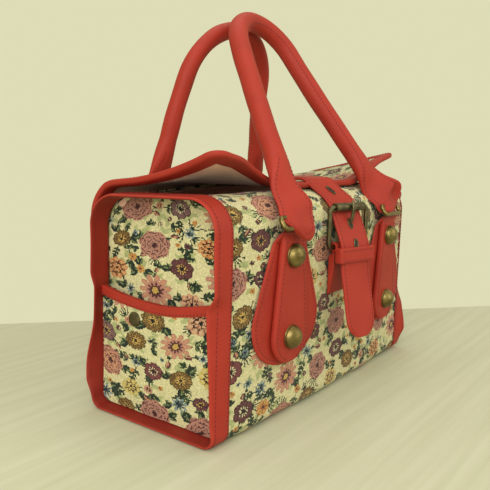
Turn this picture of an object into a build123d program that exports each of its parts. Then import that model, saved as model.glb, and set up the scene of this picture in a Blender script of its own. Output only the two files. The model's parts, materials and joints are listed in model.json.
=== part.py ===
from build123d import *
import os
from math import asin, atan, cos, degrees, radians, sin, sqrt

# A boxy tapestry handbag with leather trim: cloth panels, leather bound ends, a flap held by a roller
# buckle, and two rolled handles that swing on brass links.
# X runs along the bag, the front faces -Y, Z is up and zero is the middle of the base.

# Body
body_length = 320.0
body_depth = 143.0
body_height = 198.0
bulge = 4.0
cloth = 2.0
seam_gap = 0.2
base_lip = 24.0
top_facing = 32.0
bottom_radius = 11.0
top_radius = 29.0
lining = 1.0
board = 3.0
board_inset = 6.0

# Leather binding round each end
flange_width = 20.0
flange_thick = 5.0
flange_round = 2.2
leather = 1.4

# End pockets
pocket_drop = 86.0
pocket_sag = 4.0
pocket_stand_off = 7.0
pocket_band_height = 10.0

# Flap
flap_overhang = 13.0
flap_front_inset = 17.5
flap_lap_drop = 31.0
flap_lift = 33.0
flap_corner = 34.0
flap_binding_width = 13.0
flap_clearance = 0.3
flap_station_shares = (-1.0, -0.75, -0.5, -0.28, 0.0, 0.28, 0.5, 0.75, 1.0)
flap_rise_shares = (1.0, 0.45, 0.08, 0.02, 0.0, 0.02, 0.08, 0.45, 1.0)

# Handle tabs and studs
front_tab_distance = 96.0
back_tab_distance = 89.0
tab_gap = 0.3
tab_base_radius = 38.0
tab_base_lift = 8.0
tab_base_head = 17.0
tab_base_top_width = 42.0
tab_base_thick = 2.4
tab_face_radius = 32.0
tab_face_lift = 7.0
tab_face_head = 18.0
tab_face_top_width = 36.0
tab_face_thick = 6.0
tab_face_round = 2.4
tab_top_depth = 4.0
stud_drop = 52.0
stud_pitch = 70.0
stud_radius = 10.0
stud_dome = 7.5
stud_rim = 1.2
shank_radius = 2.4
shank_clearance = 0.1

# Links between tabs and handles
front_link_rise = 24.0
back_link_rise = 22.0
link_stand_off = 14.0
link_wire = 2.0
link_half_width = 19.0
link_pitch = 10.0
link_corner = 3.5
link_clearance = 0.06
lug_radius = 4.2
lug_inner = 9.0
lug_outer = 15.0
tab_neck_drop = 12.0

# Handles
handle_radius = 10.0
front_lean_angle = 32.5
back_lean_angle = 11.8
front_leg_angle = 15.6
back_leg_angle = 11.5
front_arc_radius = 46.0
back_arc_radius = 62.0
paddle_length = 66.0
paddle_half_width = 27.0
paddle_station_shares = (0.29, 0.42, 0.68)
paddle_width_shares = (0.78, 1.0, 0.69)
paddle_depth_shares = (0.36, 0.44, 0.7)
tongue_half_width = 14.6
tongue_half_depth = 3.0
tongue_top = 30.0

# Closure
closure_turn_angle = 12.0
strap_width = 44.0
strap_thick = 3.2
strap_sewn_out = -50.0
strap_edge_out = -15.0
strap_rest = 8.7
strap_roller_out = 3.2
strap_roller_rise = 1.0
strap_bar_out = 17.4
strap_tip_out = 21.5
strap_tail = 83.0
strap_edge_bend = 10.0
strap_roller_bend = 16.0
strap_bar_bend = 30.0
strap_tip_round = 17.0
slot_width = 5.4
slot_length = 22.0
spare_slot_length = 9.0
eyelet_rim = 2.0
eyelet_thick = 0.7
buckle_out = 10.2
buckle_drop = 16.0
buckle_pitch = 37.0
buckle_half_width = 26.5
buckle_wire = 2.2
buckle_corner = 5.0
roller_radius = 4.0
roller_half_length = 20.5
roller_gap = 0.3
pin_clearance = 0.06
prong_radius = 1.9
prong_lug_radius = 4.0
prong_lug_width = 7.0
prong_overhang = 5.0
prong_tip_share = 0.8
buckle_tab_width = 40.0
buckle_tab_length = 45.0
buckle_tab_thick = 2.5
buckle_tab_fold = 6.5
buckle_tab_rise = 25.0
buckle_tab_lug_radius = 4.7
prong_slot_width = 8.6
keeper_drop = 19.0
keeper_height = 14.0
keeper_thick = 2.2
keeper_room = 0.5

overrun = 10.0

# Worked out sizes
half_length = body_length / 2
half_depth = body_depth / 2
plan_radius = (half_length**2 + bulge**2) / (2 * bulge)
flap_stand_off = leather + lining + flap_clearance
flap_knee_height = body_height + flap_stand_off
flap_front = half_depth - flap_front_inset
flap_knee_radius = top_radius + cloth / 2 + flap_stand_off
flap_half_length = half_length + flap_overhang
leaf_thick = tab_base_thick + tab_face_thick
pocket_height = body_height - pocket_drop
flap_lap_height = body_height - flap_lap_drop
stud_high = body_height - stud_drop
stud_low = stud_high - stud_pitch
front_link_height = stud_high + front_link_rise
back_link_height = stud_high + back_link_rise
buckle_roller_height = body_height - buckle_drop
buckle_bar_height = buckle_roller_height - buckle_pitch
strap_flap_height = body_height + strap_rest
strap_roller_height = buckle_roller_height + strap_roller_rise
strap_tip_height = buckle_bar_height - strap_tail
buckle_tab_foot = buckle_bar_height - buckle_tab_length
keeper_foot = buckle_bar_height - keeper_drop


def face_at(x):
    """Distance from the middle plane to the outer face of the front or back panel at x."""
    if abs(x) >= half_length:
        return half_depth
    return half_depth + bulge - plan_radius + sqrt(plan_radius**2 - x**2)


def offset_path(points, radii, shift):
    """A bent path moved to its left by shift, with the bend radii that keep it parallel."""
    corners = [Vector(*point) for point in points]
    steps = [(b - a).normalized() for a, b in zip(corners, corners[1:])]
    lefts = [Vector(-step.Y, step.X) for step in steps]
    moved = [corners[0] + lefts[0] * shift]
    bends = []
    for corner, radius, before, after, left, next_left in zip(
        corners[1:], radii, steps, steps[1:], lefts, lefts[1:]
    ):
        moved.append(corner + (left + next_left) * (shift / (1 + before.dot(after))))
        turns_left = before.X * after.Y > before.Y * after.X
        bends.append(radius - shift if turns_left else radius + shift)
    moved.append(corners[-1] + lefts[-1] * shift)
    return moved, bends


def sheet_outline(points, radii, low, high):
    """The closed outline of a bent sheet, between two distances to the left of its path."""
    near, near_bends = offset_path(points, radii, low)
    far, far_bends = offset_path(points, radii, high)
    FilletPolyline(near, radius=near_bends)
    Line(near[-1], far[-1])
    FilletPolyline(far, radius=far_bends)
    Line(far[0], near[0])


def end_outline(inset):
    """The rounded section of the body, a given distance inside its outer face."""
    side = half_depth - inset
    foot = bottom_radius + cloth / 2 - inset
    head = top_radius + cloth / 2 - inset
    corners = [(-side, inset), (side, inset), (side, body_height - inset), (-side, body_height - inset)]
    FilletPolyline(corners, radius=[foot, foot, head, head], close=True)


def save(part, name):
    """Label a finished piece and write it."""
    part.label = name
    export_step(part, f"parts/{name}.step")


os.makedirs("parts", exist_ok=True)

# Front and back panels: bowed walls that turn under the base and in over the mouth
wall_path = [
    (plan_radius - base_lip, cloth / 2),
    (plan_radius - cloth / 2, cloth / 2),
    (plan_radius - cloth / 2, body_height - cloth / 2),
    (plan_radius - top_facing, body_height - cloth / 2),
]
wall_bends = [bottom_radius, top_radius]
sweep_angle = asin((half_length + overrun) / (plan_radius - top_facing))
for name, facing in (("front_panel", -1), ("back_panel", 1)):
    bow_centre = Vector(0, facing * (half_depth + bulge - plan_radius), 0)
    start = Vector(facing * sin(sweep_angle), facing * cos(sweep_angle), 0)
    with BuildPart() as wall:
        with BuildSketch(Plane(bow_centre, x_dir=start, z_dir=(start.Y, -start.X, 0))):
            with BuildLine():
                sheet_outline(wall_path, wall_bends, -cloth / 2, cloth / 2)
            make_face()
        revolve(axis=Axis(bow_centre, (0, 0, 1)), revolution_arc=degrees(2 * sweep_angle))
        split(bisect_by=Plane.YZ.offset(half_length), keep=Keep.BOTTOM)
        split(bisect_by=Plane.YZ.offset(-half_length), keep=Keep.TOP)
    save(wall.part, name)

# Base panel between the two lips
lip_radius = plan_radius - base_lip - seam_gap
lip_middle = half_depth + bulge - base_lip - seam_gap
lip_end = half_depth + bulge - plan_radius + sqrt(lip_radius**2 - half_length**2)
with BuildPart() as base_panel:
    with BuildSketch():
        with BuildLine():
            ThreePointArc((-half_length, -lip_end), (0, -lip_middle), (half_length, -lip_end))
            Line((half_length, -lip_end), (half_length, lip_end))
            ThreePointArc((half_length, lip_end), (0, lip_middle), (-half_length, lip_end))
            Line((-half_length, lip_end), (-half_length, -lip_end))
        make_face()
    extrude(amount=cloth)
save(base_panel.part, "base_panel")

# Stiff board over the base, under the lining
with BuildPart() as base_board:
    with BuildSketch(Plane.XY.offset(cloth + seam_gap)):
        RectangleRounded(
            body_length - 2 * board_inset - 2 * cloth,
            body_depth - 2 * bottom_radius - board_inset,
            board_inset,
        )
    extrude(amount=board)
save(base_board.part, "base_board")

# Lining of the body: one sheet down the front, under and up the back, and a sheet at each end
lining_foot = cloth + board + 2 * seam_gap + lining / 2
lining_wall = half_depth - cloth - seam_gap - lining / 2
lining_head = body_height - cloth - seam_gap - lining / 2
lining_mouth = half_depth - top_facing
lining_half_length = half_length - cloth - 3 * seam_gap - lining
lining_path = [
    (lining_mouth, lining_head),
    (lining_wall, lining_head),
    (lining_wall, lining_foot),
    (-lining_wall, lining_foot),
    (-lining_wall, lining_head),
    (-lining_mouth, lining_head),
]
inner_bend = top_radius - cloth
lining_bends = [inner_bend, bottom_radius, bottom_radius, inner_bend]
with BuildPart() as body_lining:
    with BuildSketch(Plane.YZ):
        with BuildLine():
            sheet_outline(lining_path, lining_bends, -lining / 2, lining / 2)
        make_face()
    extrude(amount=lining_half_length, both=True)
save(body_lining.part, "body_lining")

# The two ends: cloth panel, its lining, the slip pocket with its band, and the leather binding
panel_inset = cloth + seam_gap
pocket_inset = flange_thick + seam_gap
pocket_half = half_depth - pocket_inset
pocket_cloth_top = pocket_height - leather
pocket_out = half_length + pocket_stand_off


def pocket_field(top):
    """The area below the pocket's sagging top edge."""
    ThreePointArc((-half_depth, top), (0, top - pocket_sag), (half_depth, top))
    Polyline((half_depth, top), (half_depth, -overrun), (-half_depth, -overrun), (-half_depth, top))


for name, side in (("left", -1), ("right", 1)):
    with BuildPart() as end_panel:
        with BuildSketch(Plane.YZ.offset(side * (half_length - seam_gap))):
            with BuildLine():
                end_outline(panel_inset)
            make_face()
        extrude(amount=-side * cloth)
    save(end_panel.part, f"{name}_end_panel")

    with BuildPart() as end_lining:
        with BuildSketch(Plane.YZ.offset(side * (half_length - cloth - 2 * seam_gap))):
            with BuildLine():
                end_outline(panel_inset + lining)
            make_face()
            with Locations((0, 0)):
                Rectangle(body_depth, 2 * (lining_foot + lining), mode=Mode.SUBTRACT)
        extrude(amount=-side * lining)
    save(end_lining.part, f"{name}_end_lining")

    with BuildPart() as end_binding:
        with BuildSketch(Plane.YZ.offset(side * half_length)):
            with BuildLine():
                end_outline(0)
            make_face()
            with BuildLine():
                end_outline(flange_thick)
            make_face(mode=Mode.SUBTRACT)
        extrude(amount=side * flange_width)
        rim = end_binding.faces().sort_by(Axis.X)[-1 if side > 0 else 0]
        fillet(rim.edges(), radius=flange_round)
    save(end_binding.part, f"{name}_end_binding")

    with BuildPart() as pocket:
        with BuildSketch(Plane.YZ.offset(side * pocket_out)):
            with BuildLine():
                end_outline(pocket_inset)
            make_face()
            with BuildLine():
                pocket_field(pocket_cloth_top)
            make_face(mode=Mode.INTERSECT)
        extrude(amount=side * cloth)
    save(pocket.part, f"{name}_pocket")

    with BuildPart() as pocket_band:
        with BuildSketch(Plane.YZ.offset(side * (pocket_out - leather - seam_gap))):
            Rectangle(2 * pocket_half, 2 * body_height)
            with BuildLine():
                pocket_field(pocket_height)
            make_face(mode=Mode.INTERSECT)
            with BuildLine():
                pocket_field(pocket_height - pocket_band_height)
            make_face(mode=Mode.SUBTRACT)
        extrude(amount=side * (cloth + 2 * leather + 2 * seam_gap))
        with BuildSketch(Plane.YZ.offset(side * (pocket_out - seam_gap))):
            with BuildLine():
                pocket_field(pocket_cloth_top + seam_gap)
            make_face()
        extrude(amount=side * (cloth + 2 * seam_gap), mode=Mode.SUBTRACT)
    save(pocket_band.part, f"{name}_pocket_band")


# Flap: cloth, lining and edge binding are layers of one lofted form, lapped on the back panel
def flap_outline(inset):
    """The flap seen from above, with its rounded front corners, a distance inside its edge."""
    side = flap_half_length - inset
    front = flap_front - inset
    back = body_depth
    corner = flap_corner - inset
    corners = [(-side, back), (-side, -front), (side, -front), (side, back)]
    FilletPolyline(corners, radius=[0, corner, corner, 0], close=True)


def flap_layer(low, high, inset):
    """A layer of the flap between two depths under its cloth, cut to the flap's outline."""
    with BuildPart() as layer:
        for station_share, rise_share in zip(flap_station_shares, flap_rise_shares):
            x = station_share * (flap_half_length + overrun)
            back = face_at(x) + flap_stand_off
            path = [
                (back, flap_lap_height),
                (back, flap_knee_height),
                (-flap_front - overrun, flap_knee_height + rise_share * flap_lift),
            ]
            with BuildSketch(Plane.YZ.offset(x)):
                with BuildLine():
                    sheet_outline(path, [flap_knee_radius], low, high)
                make_face()
        loft()
        with BuildSketch():
            with BuildLine():
                flap_outline(inset)
            make_face()
        extrude(amount=2 * body_height, mode=Mode.INTERSECT)
    return layer.part


save(flap_layer(-cloth, 0, leather), "flap")
save(flap_layer(seam_gap / 2, lining, leather), "flap_lining")
with BuildPart() as flap_binding:
    add(flap_layer(-cloth - leather, lining + leather, 0))
    with BuildSketch():
        with BuildLine():
            flap_outline(flap_binding_width)
        make_face()
    extrude(amount=2 * body_height, mode=Mode.SUBTRACT)
    add(
        flap_layer(-cloth - seam_gap / 2, lining + seam_gap / 2, leather - seam_gap / 2),
        mode=Mode.SUBTRACT,
    )
save(flap_binding.part, "flap_binding")


# Handle tabs: a flat base leaf and a padded face leaf on the bowed panel, held by two studs
def leaf(radius, centre, top, top_width):
    """A tear-drop leaf outline: a round foot hulled to a narrow top."""
    with Locations((0, centre)):
        Circle(radius)
    with Locations((0, top - tab_top_depth / 2)):
        Rectangle(top_width, tab_top_depth)
    make_hull()


stud_places = [(0, stud_low), (0, stud_high)]


def build_tab(name, x, facing, link_height):
    """One tab with its two leaves and its pair of studs, on the panel at x."""
    tilt = asin(x / plan_radius)
    outward = Vector(sin(tilt), facing * cos(tilt), 0)
    along = Vector(-facing * cos(tilt), sin(tilt), 0)
    surface = Plane((x, facing * face_at(x), 0), x_dir=along, z_dir=outward)
    base_plane = surface.offset(tab_gap)
    face_plane = surface.offset(tab_gap + tab_base_thick)
    seat_plane = surface.offset(tab_gap + leaf_thick)
    link_axis = Plane(
        (x, facing * (face_at(x) + link_stand_off), link_height), x_dir=(0, 0, 1), z_dir=(1, 0, 0)
    )

    with BuildPart() as tab_base:
        with BuildSketch(base_plane):
            leaf(tab_base_radius, stud_low + tab_base_lift, stud_high + tab_base_head, tab_base_top_width)
        extrude(amount=tab_base_thick)
        with BuildSketch(base_plane):
            with Locations(stud_places):
                Circle(shank_radius + shank_clearance)
        extrude(amount=tab_base_thick, mode=Mode.SUBTRACT)
    save(tab_base.part, f"{name}_tab_base")

    with BuildPart() as tab_face:
        with BuildSketch(face_plane):
            leaf(tab_face_radius, stud_low + tab_face_lift, stud_high + tab_face_head, tab_face_top_width)
        extrude(amount=tab_face_thick)
        fillet(tab_face.faces().sort_by(Axis.Y)[-1 if facing > 0 else 0].edges(), radius=tab_face_round)
        with BuildSketch(face_plane):
            with Locations(stud_places):
                Circle(shank_radius + shank_clearance)
        extrude(amount=tab_face_thick, mode=Mode.SUBTRACT)
        with BuildSketch(Plane.YZ.offset(x)):
            face_middle = facing * (face_at(x) + tab_gap + tab_base_thick + tab_face_thick / 2)
            link_middle = facing * (face_at(x) + link_stand_off)
            with BuildLine():
                Polyline(
                    (face_middle, link_height - tab_neck_drop),
                    (link_middle + facing * lug_radius, link_height),
                    (link_middle - facing * lug_radius, link_height),
                    (face_middle - facing * tab_face_thick / 4, link_height - tab_neck_drop),
                    close=True,
                )
            make_face()
        extrude(amount=lug_outer, both=True)
        with BuildSketch(link_axis):
            Circle(lug_radius)
        extrude(amount=lug_outer, both=True)
        with BuildSketch(link_axis):
            Circle(link_wire + link_clearance)
        extrude(amount=link_half_width, both=True, mode=Mode.SUBTRACT)
        with BuildSketch(link_axis):
            Circle(lug_radius + link_clearance)
        extrude(amount=lug_inner, both=True, mode=Mode.SUBTRACT)
    save(tab_face.part, f"{name}_tab_face")

    with BuildPart() as studs:
        with BuildSketch(seat_plane):
            with Locations(stud_places):
                Circle(stud_radius)
        extrude(amount=stud_rim)
        cap_radius = (stud_radius**2 + stud_dome**2) / (2 * stud_dome)
        cap_angle = degrees(asin((cap_radius - stud_dome) / cap_radius))
        for place in stud_places:
            foot = seat_plane.from_local_coords((place[0], place[1], stud_rim))
            with Locations(Plane(foot, x_dir=along, z_dir=outward).location):
                Sphere(cap_radius, arc_size1=cap_angle, align=(Align.CENTER, Align.CENTER, Align.MIN))
        with BuildSketch(base_plane):
            with Locations(stud_places):
                Circle(shank_radius)
        extrude(amount=leaf_thick)
    save(studs.part, f"{name}_tab_studs")


def handle_plane(facing, spread, height, lean):
    """The leaning plane of a handle: its origin is midway between its two links."""
    tilt = radians(lean)
    out = facing * (face_at(spread) + link_stand_off)
    return Plane((0, out, height), x_dir=(1, 0, 0), z_dir=(0, -cos(tilt), -facing * sin(tilt)))


def build_links(name, plane, spread):
    """The two brass links of one handle, each a closed loop of round wire."""
    for side_name, side in (("left", -1), ("right", 1)):
        with BuildPart() as link:
            with BuildLine(plane) as loop:
                FilletPolyline(
                    (side * spread, 0),
                    (side * spread + link_half_width, 0),
                    (side * spread + link_half_width, link_pitch),
                    (side * spread - link_half_width, link_pitch),
                    (side * spread - link_half_width, 0),
                    (side * spread, 0),
                    radius=[0, link_corner, link_corner, link_corner, link_corner],
                    close=True,
                )
            with BuildSketch(Plane(loop.line @ 0, z_dir=loop.line % 0)):
                Circle(link_wire)
            sweep(path=loop.line)
        save(link.part, f"{name}_{side_name}_link")


def build_handle(name, plane, spread, leg_angle, arc_radius):
    """A rolled handle: a round grip on straight legs that flatten into paddles over the links."""
    slope = radians(leg_angle)
    leg = (spread - arc_radius * cos(slope)) / sin(slope)
    tangent = (arc_radius * cos(slope), leg * cos(slope))
    crown = tangent[1] + arc_radius * (1 - sin(slope))
    root = (spread - paddle_length * sin(slope), paddle_length * cos(slope))
    with BuildPart() as handle:
        with BuildLine(plane) as grip:
            Line((-root[0], root[1]), (-tangent[0], tangent[1]))
            ThreePointArc((-tangent[0], tangent[1]), (0, crown), tangent)
            Line(tangent, root)
        with BuildSketch(Plane(grip.line @ 0, x_dir=plane.z_dir, z_dir=grip.line % 0)):
            Circle(handle_radius)
        sweep(path=grip.line)
        for side in (-1, 1):
            up = plane.x_dir * (-side * sin(slope)) + plane.y_dir * cos(slope)
            across = plane.x_dir * cos(slope) + plane.y_dir * (side * sin(slope))
            for station_share, width_share, depth_share in zip(
                paddle_station_shares, paddle_width_shares, paddle_depth_shares
            ):
                station = station_share * paddle_length
                spot = plane.from_local_coords(
                    (side * (spread - station * sin(slope)), station * cos(slope), 0)
                )
                with BuildSketch(Plane(spot, x_dir=across, z_dir=up)):
                    Ellipse(width_share * paddle_half_width, depth_share * handle_radius)
            grip_end = plane.from_local_coords((side * root[0], root[1], 0))
            with BuildSketch(Plane(grip_end, x_dir=across, z_dir=up)):
                Circle(handle_radius)
            loft()
            bar = plane.from_local_coords((side * spread, link_pitch, 0))
            bar_plane = Plane(bar, x_dir=plane.y_dir, z_dir=plane.x_dir)
            with BuildSketch(bar_plane):
                Circle(lug_radius)
                with Locations(((tongue_top - link_pitch) / 2, 0)):
                    Rectangle(tongue_top - link_pitch, 2 * tongue_half_depth)
            extrude(amount=tongue_half_width, both=True)
            with BuildSketch(bar_plane):
                Circle(link_wire + link_clearance)
            extrude(amount=link_half_width, both=True, mode=Mode.SUBTRACT)
    save(handle.part, f"{name}_handle")


for name, facing, spread, height, lean, leg_angle, arc_radius in (
    ("front", -1, front_tab_distance, front_link_height, front_lean_angle, front_leg_angle, front_arc_radius),
    ("back", 1, back_tab_distance, back_link_height, back_lean_angle, back_leg_angle, back_arc_radius),
):
    build_tab(f"{name}_left", -spread, facing, height)
    build_tab(f"{name}_right", spread, facing, height)
    plane = handle_plane(facing, spread, height, lean)
    build_links(name, plane, spread)
    build_handle(name, plane, spread, leg_angle, arc_radius)

# Closure: seen from the side, its own plane is turned a little about the upright
twist = radians(closure_turn_angle)
across = Vector(cos(twist), -sin(twist), 0)
outward = Vector(-sin(twist), -cos(twist), 0)
face_middle = half_depth + bulge


def closure_point(u, out, height):
    """A point of the closure: across the strap, out from the front panel, and up."""
    return Vector(0, -face_middle, height) + across * u + outward * out


def closure_profile(u):
    """The plane seen from the end of the buckle bar: local X is outwards and local Y is up."""
    return Plane(closure_point(u, 0, 0), x_dir=outward, z_dir=across * -1)


bar_plane = Plane(closure_point(0, buckle_out, buckle_bar_height), x_dir=outward, z_dir=across)
roller_plane = Plane(closure_point(0, buckle_out, buckle_roller_height), x_dir=outward, z_dir=across)
strap_path = [
    (strap_sewn_out, strap_flap_height),
    (strap_edge_out, strap_flap_height),
    (strap_roller_out, strap_roller_height),
    (strap_bar_out, buckle_bar_height),
    (strap_tip_out, strap_tip_height),
]
strap_bends = [strap_edge_bend, strap_roller_bend, strap_bar_bend]

# The prong crosses the strap where their two straight runs meet
prong_tip_out = buckle_out + roller_radius + roller_gap + prong_radius
prong_slope = (prong_tip_out - buckle_out) / (buckle_roller_height - buckle_bar_height)
strap_slope = (strap_bar_out - strap_roller_out) / (strap_roller_height - buckle_bar_height)
cross_rise = (strap_bar_out - buckle_out) / (prong_slope + strap_slope)
cross_point = closure_point(0, buckle_out + prong_slope * cross_rise, buckle_bar_height + cross_rise)
strap_lean = atan(strap_slope)
strap_normal = outward * cos(strap_lean) + Vector(0, 0, 1) * sin(strap_lean)
slot_plane = Plane(cross_point, x_dir=across, z_dir=strap_normal)
spare_run = Vector(strap_roller_out - strap_edge_out, strap_roller_height - strap_flap_height).normalized()
spare_normal = outward * -spare_run.Y + Vector(0, 0, 1) * spare_run.X
spare_point = closure_point(
    0,
    (strap_edge_out + strap_roller_out) / 2,
    (strap_flap_height + strap_roller_height) / 2,
)
spare_plane = Plane(spare_point, x_dir=across, z_dir=spare_normal)
slots = ((slot_plane, slot_length), (spare_plane, spare_slot_length))

with BuildPart() as closure_strap:
    with BuildSketch(closure_profile(0)):
        with BuildLine():
            sheet_outline(strap_path, strap_bends, -strap_thick / 2, strap_thick / 2)
        make_face()
    extrude(amount=strap_width / 2, both=True)
    tip_face = closure_strap.faces().sort_by(Axis.Z)[0]
    corners = tip_face.edges().sort_by(lambda edge: edge.length)[:2]
    fillet(corners, radius=strap_tip_round)
    for hole_plane, length in slots:
        with BuildSketch(hole_plane):
            SlotOverall(length, slot_width, rotation=90)
        extrude(amount=2 * strap_thick, both=True, mode=Mode.SUBTRACT)
save(closure_strap.part, "closure_strap")

with BuildPart() as strap_eyelets:
    for hole_plane, length in slots:
        with BuildSketch(hole_plane.offset(strap_thick / 2)):
            SlotOverall(length + 2 * eyelet_rim, slot_width + 2 * eyelet_rim, rotation=90)
            SlotOverall(length, slot_width, rotation=90, mode=Mode.SUBTRACT)
        extrude(amount=eyelet_thick)
save(strap_eyelets.part, "strap_eyelets")

with BuildPart() as buckle_frame:
    with BuildLine(
        Plane(closure_point(0, buckle_out, buckle_bar_height), x_dir=across, z_dir=outward)
    ) as loop:
        frame_height = buckle_roller_height - buckle_bar_height
        FilletPolyline(
            (0, 0),
            (buckle_half_width, 0),
            (buckle_half_width, frame_height),
            (-buckle_half_width, frame_height),
            (-buckle_half_width, 0),
            (0, 0),
            radius=[0, buckle_corner, buckle_corner, buckle_corner, buckle_corner],
            close=True,
        )
    with BuildSketch(Plane(loop.line @ 0, z_dir=loop.line % 0)):
        Circle(buckle_wire)
    sweep(path=loop.line)
save(buckle_frame.part, "buckle_frame")

with BuildPart() as buckle_roller:
    with BuildSketch(roller_plane):
        Circle(roller_radius)
        Circle(buckle_wire + pin_clearance, mode=Mode.SUBTRACT)
    extrude(amount=roller_half_length, both=True)
save(buckle_roller.part, "buckle_roller")

prong_height = buckle_roller_height - buckle_bar_height
prong_length = sqrt(prong_height**2 + (prong_tip_out - buckle_out) ** 2) + prong_overhang
prong_up = outward * (prong_tip_out - buckle_out) + Vector(0, 0, prong_height)
with BuildPart() as buckle_prong:
    with BuildSketch(Plane(bar_plane.origin, x_dir=across, z_dir=prong_up)):
        Circle(prong_radius)
    extrude(amount=prong_length)
    fillet(buckle_prong.faces().sort_by(Axis.Z)[-1].edges(), radius=prong_tip_share * prong_radius)
    with BuildSketch(bar_plane):
        Circle(prong_lug_radius)
    extrude(amount=prong_lug_width / 2, both=True)
    with BuildSketch(bar_plane):
        Circle(buckle_wire + pin_clearance)
    extrude(amount=prong_lug_width, both=True, mode=Mode.SUBTRACT)
save(buckle_prong.part, "buckle_prong")

# Buckle tab: a leaf on the panel that rises into a fold round the buckle's bar
fold_foot = buckle_tab_foot + buckle_tab_rise
with BuildPart() as buckle_tab:
    with BuildSketch(Plane.YZ):
        with BuildLine():
            near = -face_middle - tab_gap
            Polyline(
                (near, buckle_tab_foot),
                (near - buckle_tab_thick, buckle_tab_foot),
                (-face_middle - buckle_tab_fold, fold_foot),
                (-face_middle - buckle_tab_fold, buckle_bar_height - buckle_tab_lug_radius),
                (-face_middle - buckle_out, buckle_bar_height),
                (near, buckle_bar_height - 2 * buckle_tab_lug_radius),
                close=True,
            )
        make_face()
    extrude(amount=buckle_tab_width / 2, both=True)
    with BuildSketch(bar_plane):
        Circle(buckle_tab_lug_radius)
    extrude(amount=buckle_tab_width / 2, both=True)
    with BuildSketch(bar_plane):
        Circle(buckle_wire + pin_clearance)
    extrude(amount=buckle_tab_width, both=True, mode=Mode.SUBTRACT)
    with BuildSketch(bar_plane):
        Circle(buckle_tab_lug_radius + pin_clearance)
    extrude(amount=prong_slot_width / 2, both=True, mode=Mode.SUBTRACT)
save(buckle_tab.part, "buckle_tab")

# Keeper: a leather loop round the strap, square to it
tip_slope = (strap_tip_out - strap_bar_out) / (buckle_bar_height - strap_tip_height)
keeper_middle = keeper_foot + keeper_height / 2
keeper_out = strap_bar_out + tip_slope * (buckle_bar_height - keeper_middle)
keeper_up = Vector(0, 0, cos(atan(tip_slope))) - outward * sin(atan(tip_slope))
keeper_plane = Plane(closure_point(0, keeper_out, keeper_middle), x_dir=across, z_dir=keeper_up)
keeper_inner_width = strap_width + 2 * keeper_room
keeper_inner_depth = strap_thick + 2 * keeper_room
with BuildPart() as buckle_keeper:
    with BuildSketch(keeper_plane):
        RectangleRounded(
            keeper_inner_width + 2 * keeper_thick, keeper_inner_depth + 2 * keeper_thick, keeper_thick
        )
        Rectangle(keeper_inner_width, keeper_inner_depth, mode=Mode.SUBTRACT)
    extrude(amount=keeper_height / 2, both=True)
save(buckle_keeper.part, "buckle_keeper")
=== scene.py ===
"""Looks of a floral tapestry handbag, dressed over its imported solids.

The cloth panels are fine woven sheets whose every stitch has its own colour, worked out from drawn
flowers. The leather pieces are the solids with softened edges, sewn with real stitches. The metal
keeps its solids and gets an aged brass finish. Sizes are in millimetres until a mesh is made.
"""

from __future__ import annotations

import json
import logging
import math
from collections.abc import Callable, Iterable
from dataclasses import dataclass, replace
from enum import Enum

import bpy
import numpy as np
from mathutils import Matrix, Vector
from mathutils.bvhtree import BVHTree

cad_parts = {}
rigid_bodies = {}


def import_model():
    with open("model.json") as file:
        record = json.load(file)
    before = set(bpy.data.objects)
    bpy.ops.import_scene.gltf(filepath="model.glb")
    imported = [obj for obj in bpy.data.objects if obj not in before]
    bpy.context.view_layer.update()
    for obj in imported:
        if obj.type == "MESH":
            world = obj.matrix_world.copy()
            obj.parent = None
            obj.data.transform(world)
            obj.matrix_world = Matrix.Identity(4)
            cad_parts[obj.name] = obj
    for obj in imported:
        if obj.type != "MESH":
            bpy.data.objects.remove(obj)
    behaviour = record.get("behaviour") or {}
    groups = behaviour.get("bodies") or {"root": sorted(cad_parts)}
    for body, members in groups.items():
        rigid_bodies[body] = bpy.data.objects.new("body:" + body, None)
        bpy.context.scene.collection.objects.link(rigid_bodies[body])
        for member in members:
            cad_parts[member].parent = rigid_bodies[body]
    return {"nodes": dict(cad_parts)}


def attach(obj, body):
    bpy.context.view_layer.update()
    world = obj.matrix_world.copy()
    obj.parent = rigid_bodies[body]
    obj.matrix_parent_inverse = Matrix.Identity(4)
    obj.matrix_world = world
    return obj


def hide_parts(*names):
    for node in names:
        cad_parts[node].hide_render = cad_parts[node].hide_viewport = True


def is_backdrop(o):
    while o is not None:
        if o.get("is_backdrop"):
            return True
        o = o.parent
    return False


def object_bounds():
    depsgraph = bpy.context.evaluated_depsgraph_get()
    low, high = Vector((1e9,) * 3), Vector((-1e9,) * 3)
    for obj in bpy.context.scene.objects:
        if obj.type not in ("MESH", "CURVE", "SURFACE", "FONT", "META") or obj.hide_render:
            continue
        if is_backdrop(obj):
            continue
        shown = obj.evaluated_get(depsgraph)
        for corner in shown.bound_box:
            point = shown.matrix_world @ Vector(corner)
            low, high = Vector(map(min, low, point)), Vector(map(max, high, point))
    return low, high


MM = 0.001
METAL_EDGE = 40.0
LOG = logging.getLogger("handbag")
Colour = tuple[float, float, float]
Grid = np.ndarray
Piece = bpy.types.Object
Finish = bpy.types.Material
Place = Callable[[Grid, Grid], Grid]
Seat = Callable[[Grid, Grid, Grid], Grid]


class Body(Enum):
    """The moving bodies of the bag."""

    BAG = "bag"
    FRONT_HANDLE = "front_handle_body"
    BACK_HANDLE = "back_handle_body"
    ROLLER = "roller_body"
    PRONG = "prong_body"


class Slot(Enum):
    """The material slots of the record."""

    TAPESTRY = "tapestry"
    LEATHER = "red_leather"
    LINING = "lining"
    BRASS = "brass"
    BOARD = "board"


def linear(red: int, green: int, blue: int) -> Colour:
    """A colour picked in eight-bit steps, as linear light."""
    shares = (channel / 255 for channel in (red, green, blue))
    return tuple(s / 12.92 if s <= 0.04045 else ((s + 0.055) / 1.055) ** 2.4 for s in shares)


def opaque(colour: Colour) -> tuple[float, float, float, float]:
    """A colour with full alpha, as a socket takes it."""
    return (*colour, 1.0)


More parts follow.
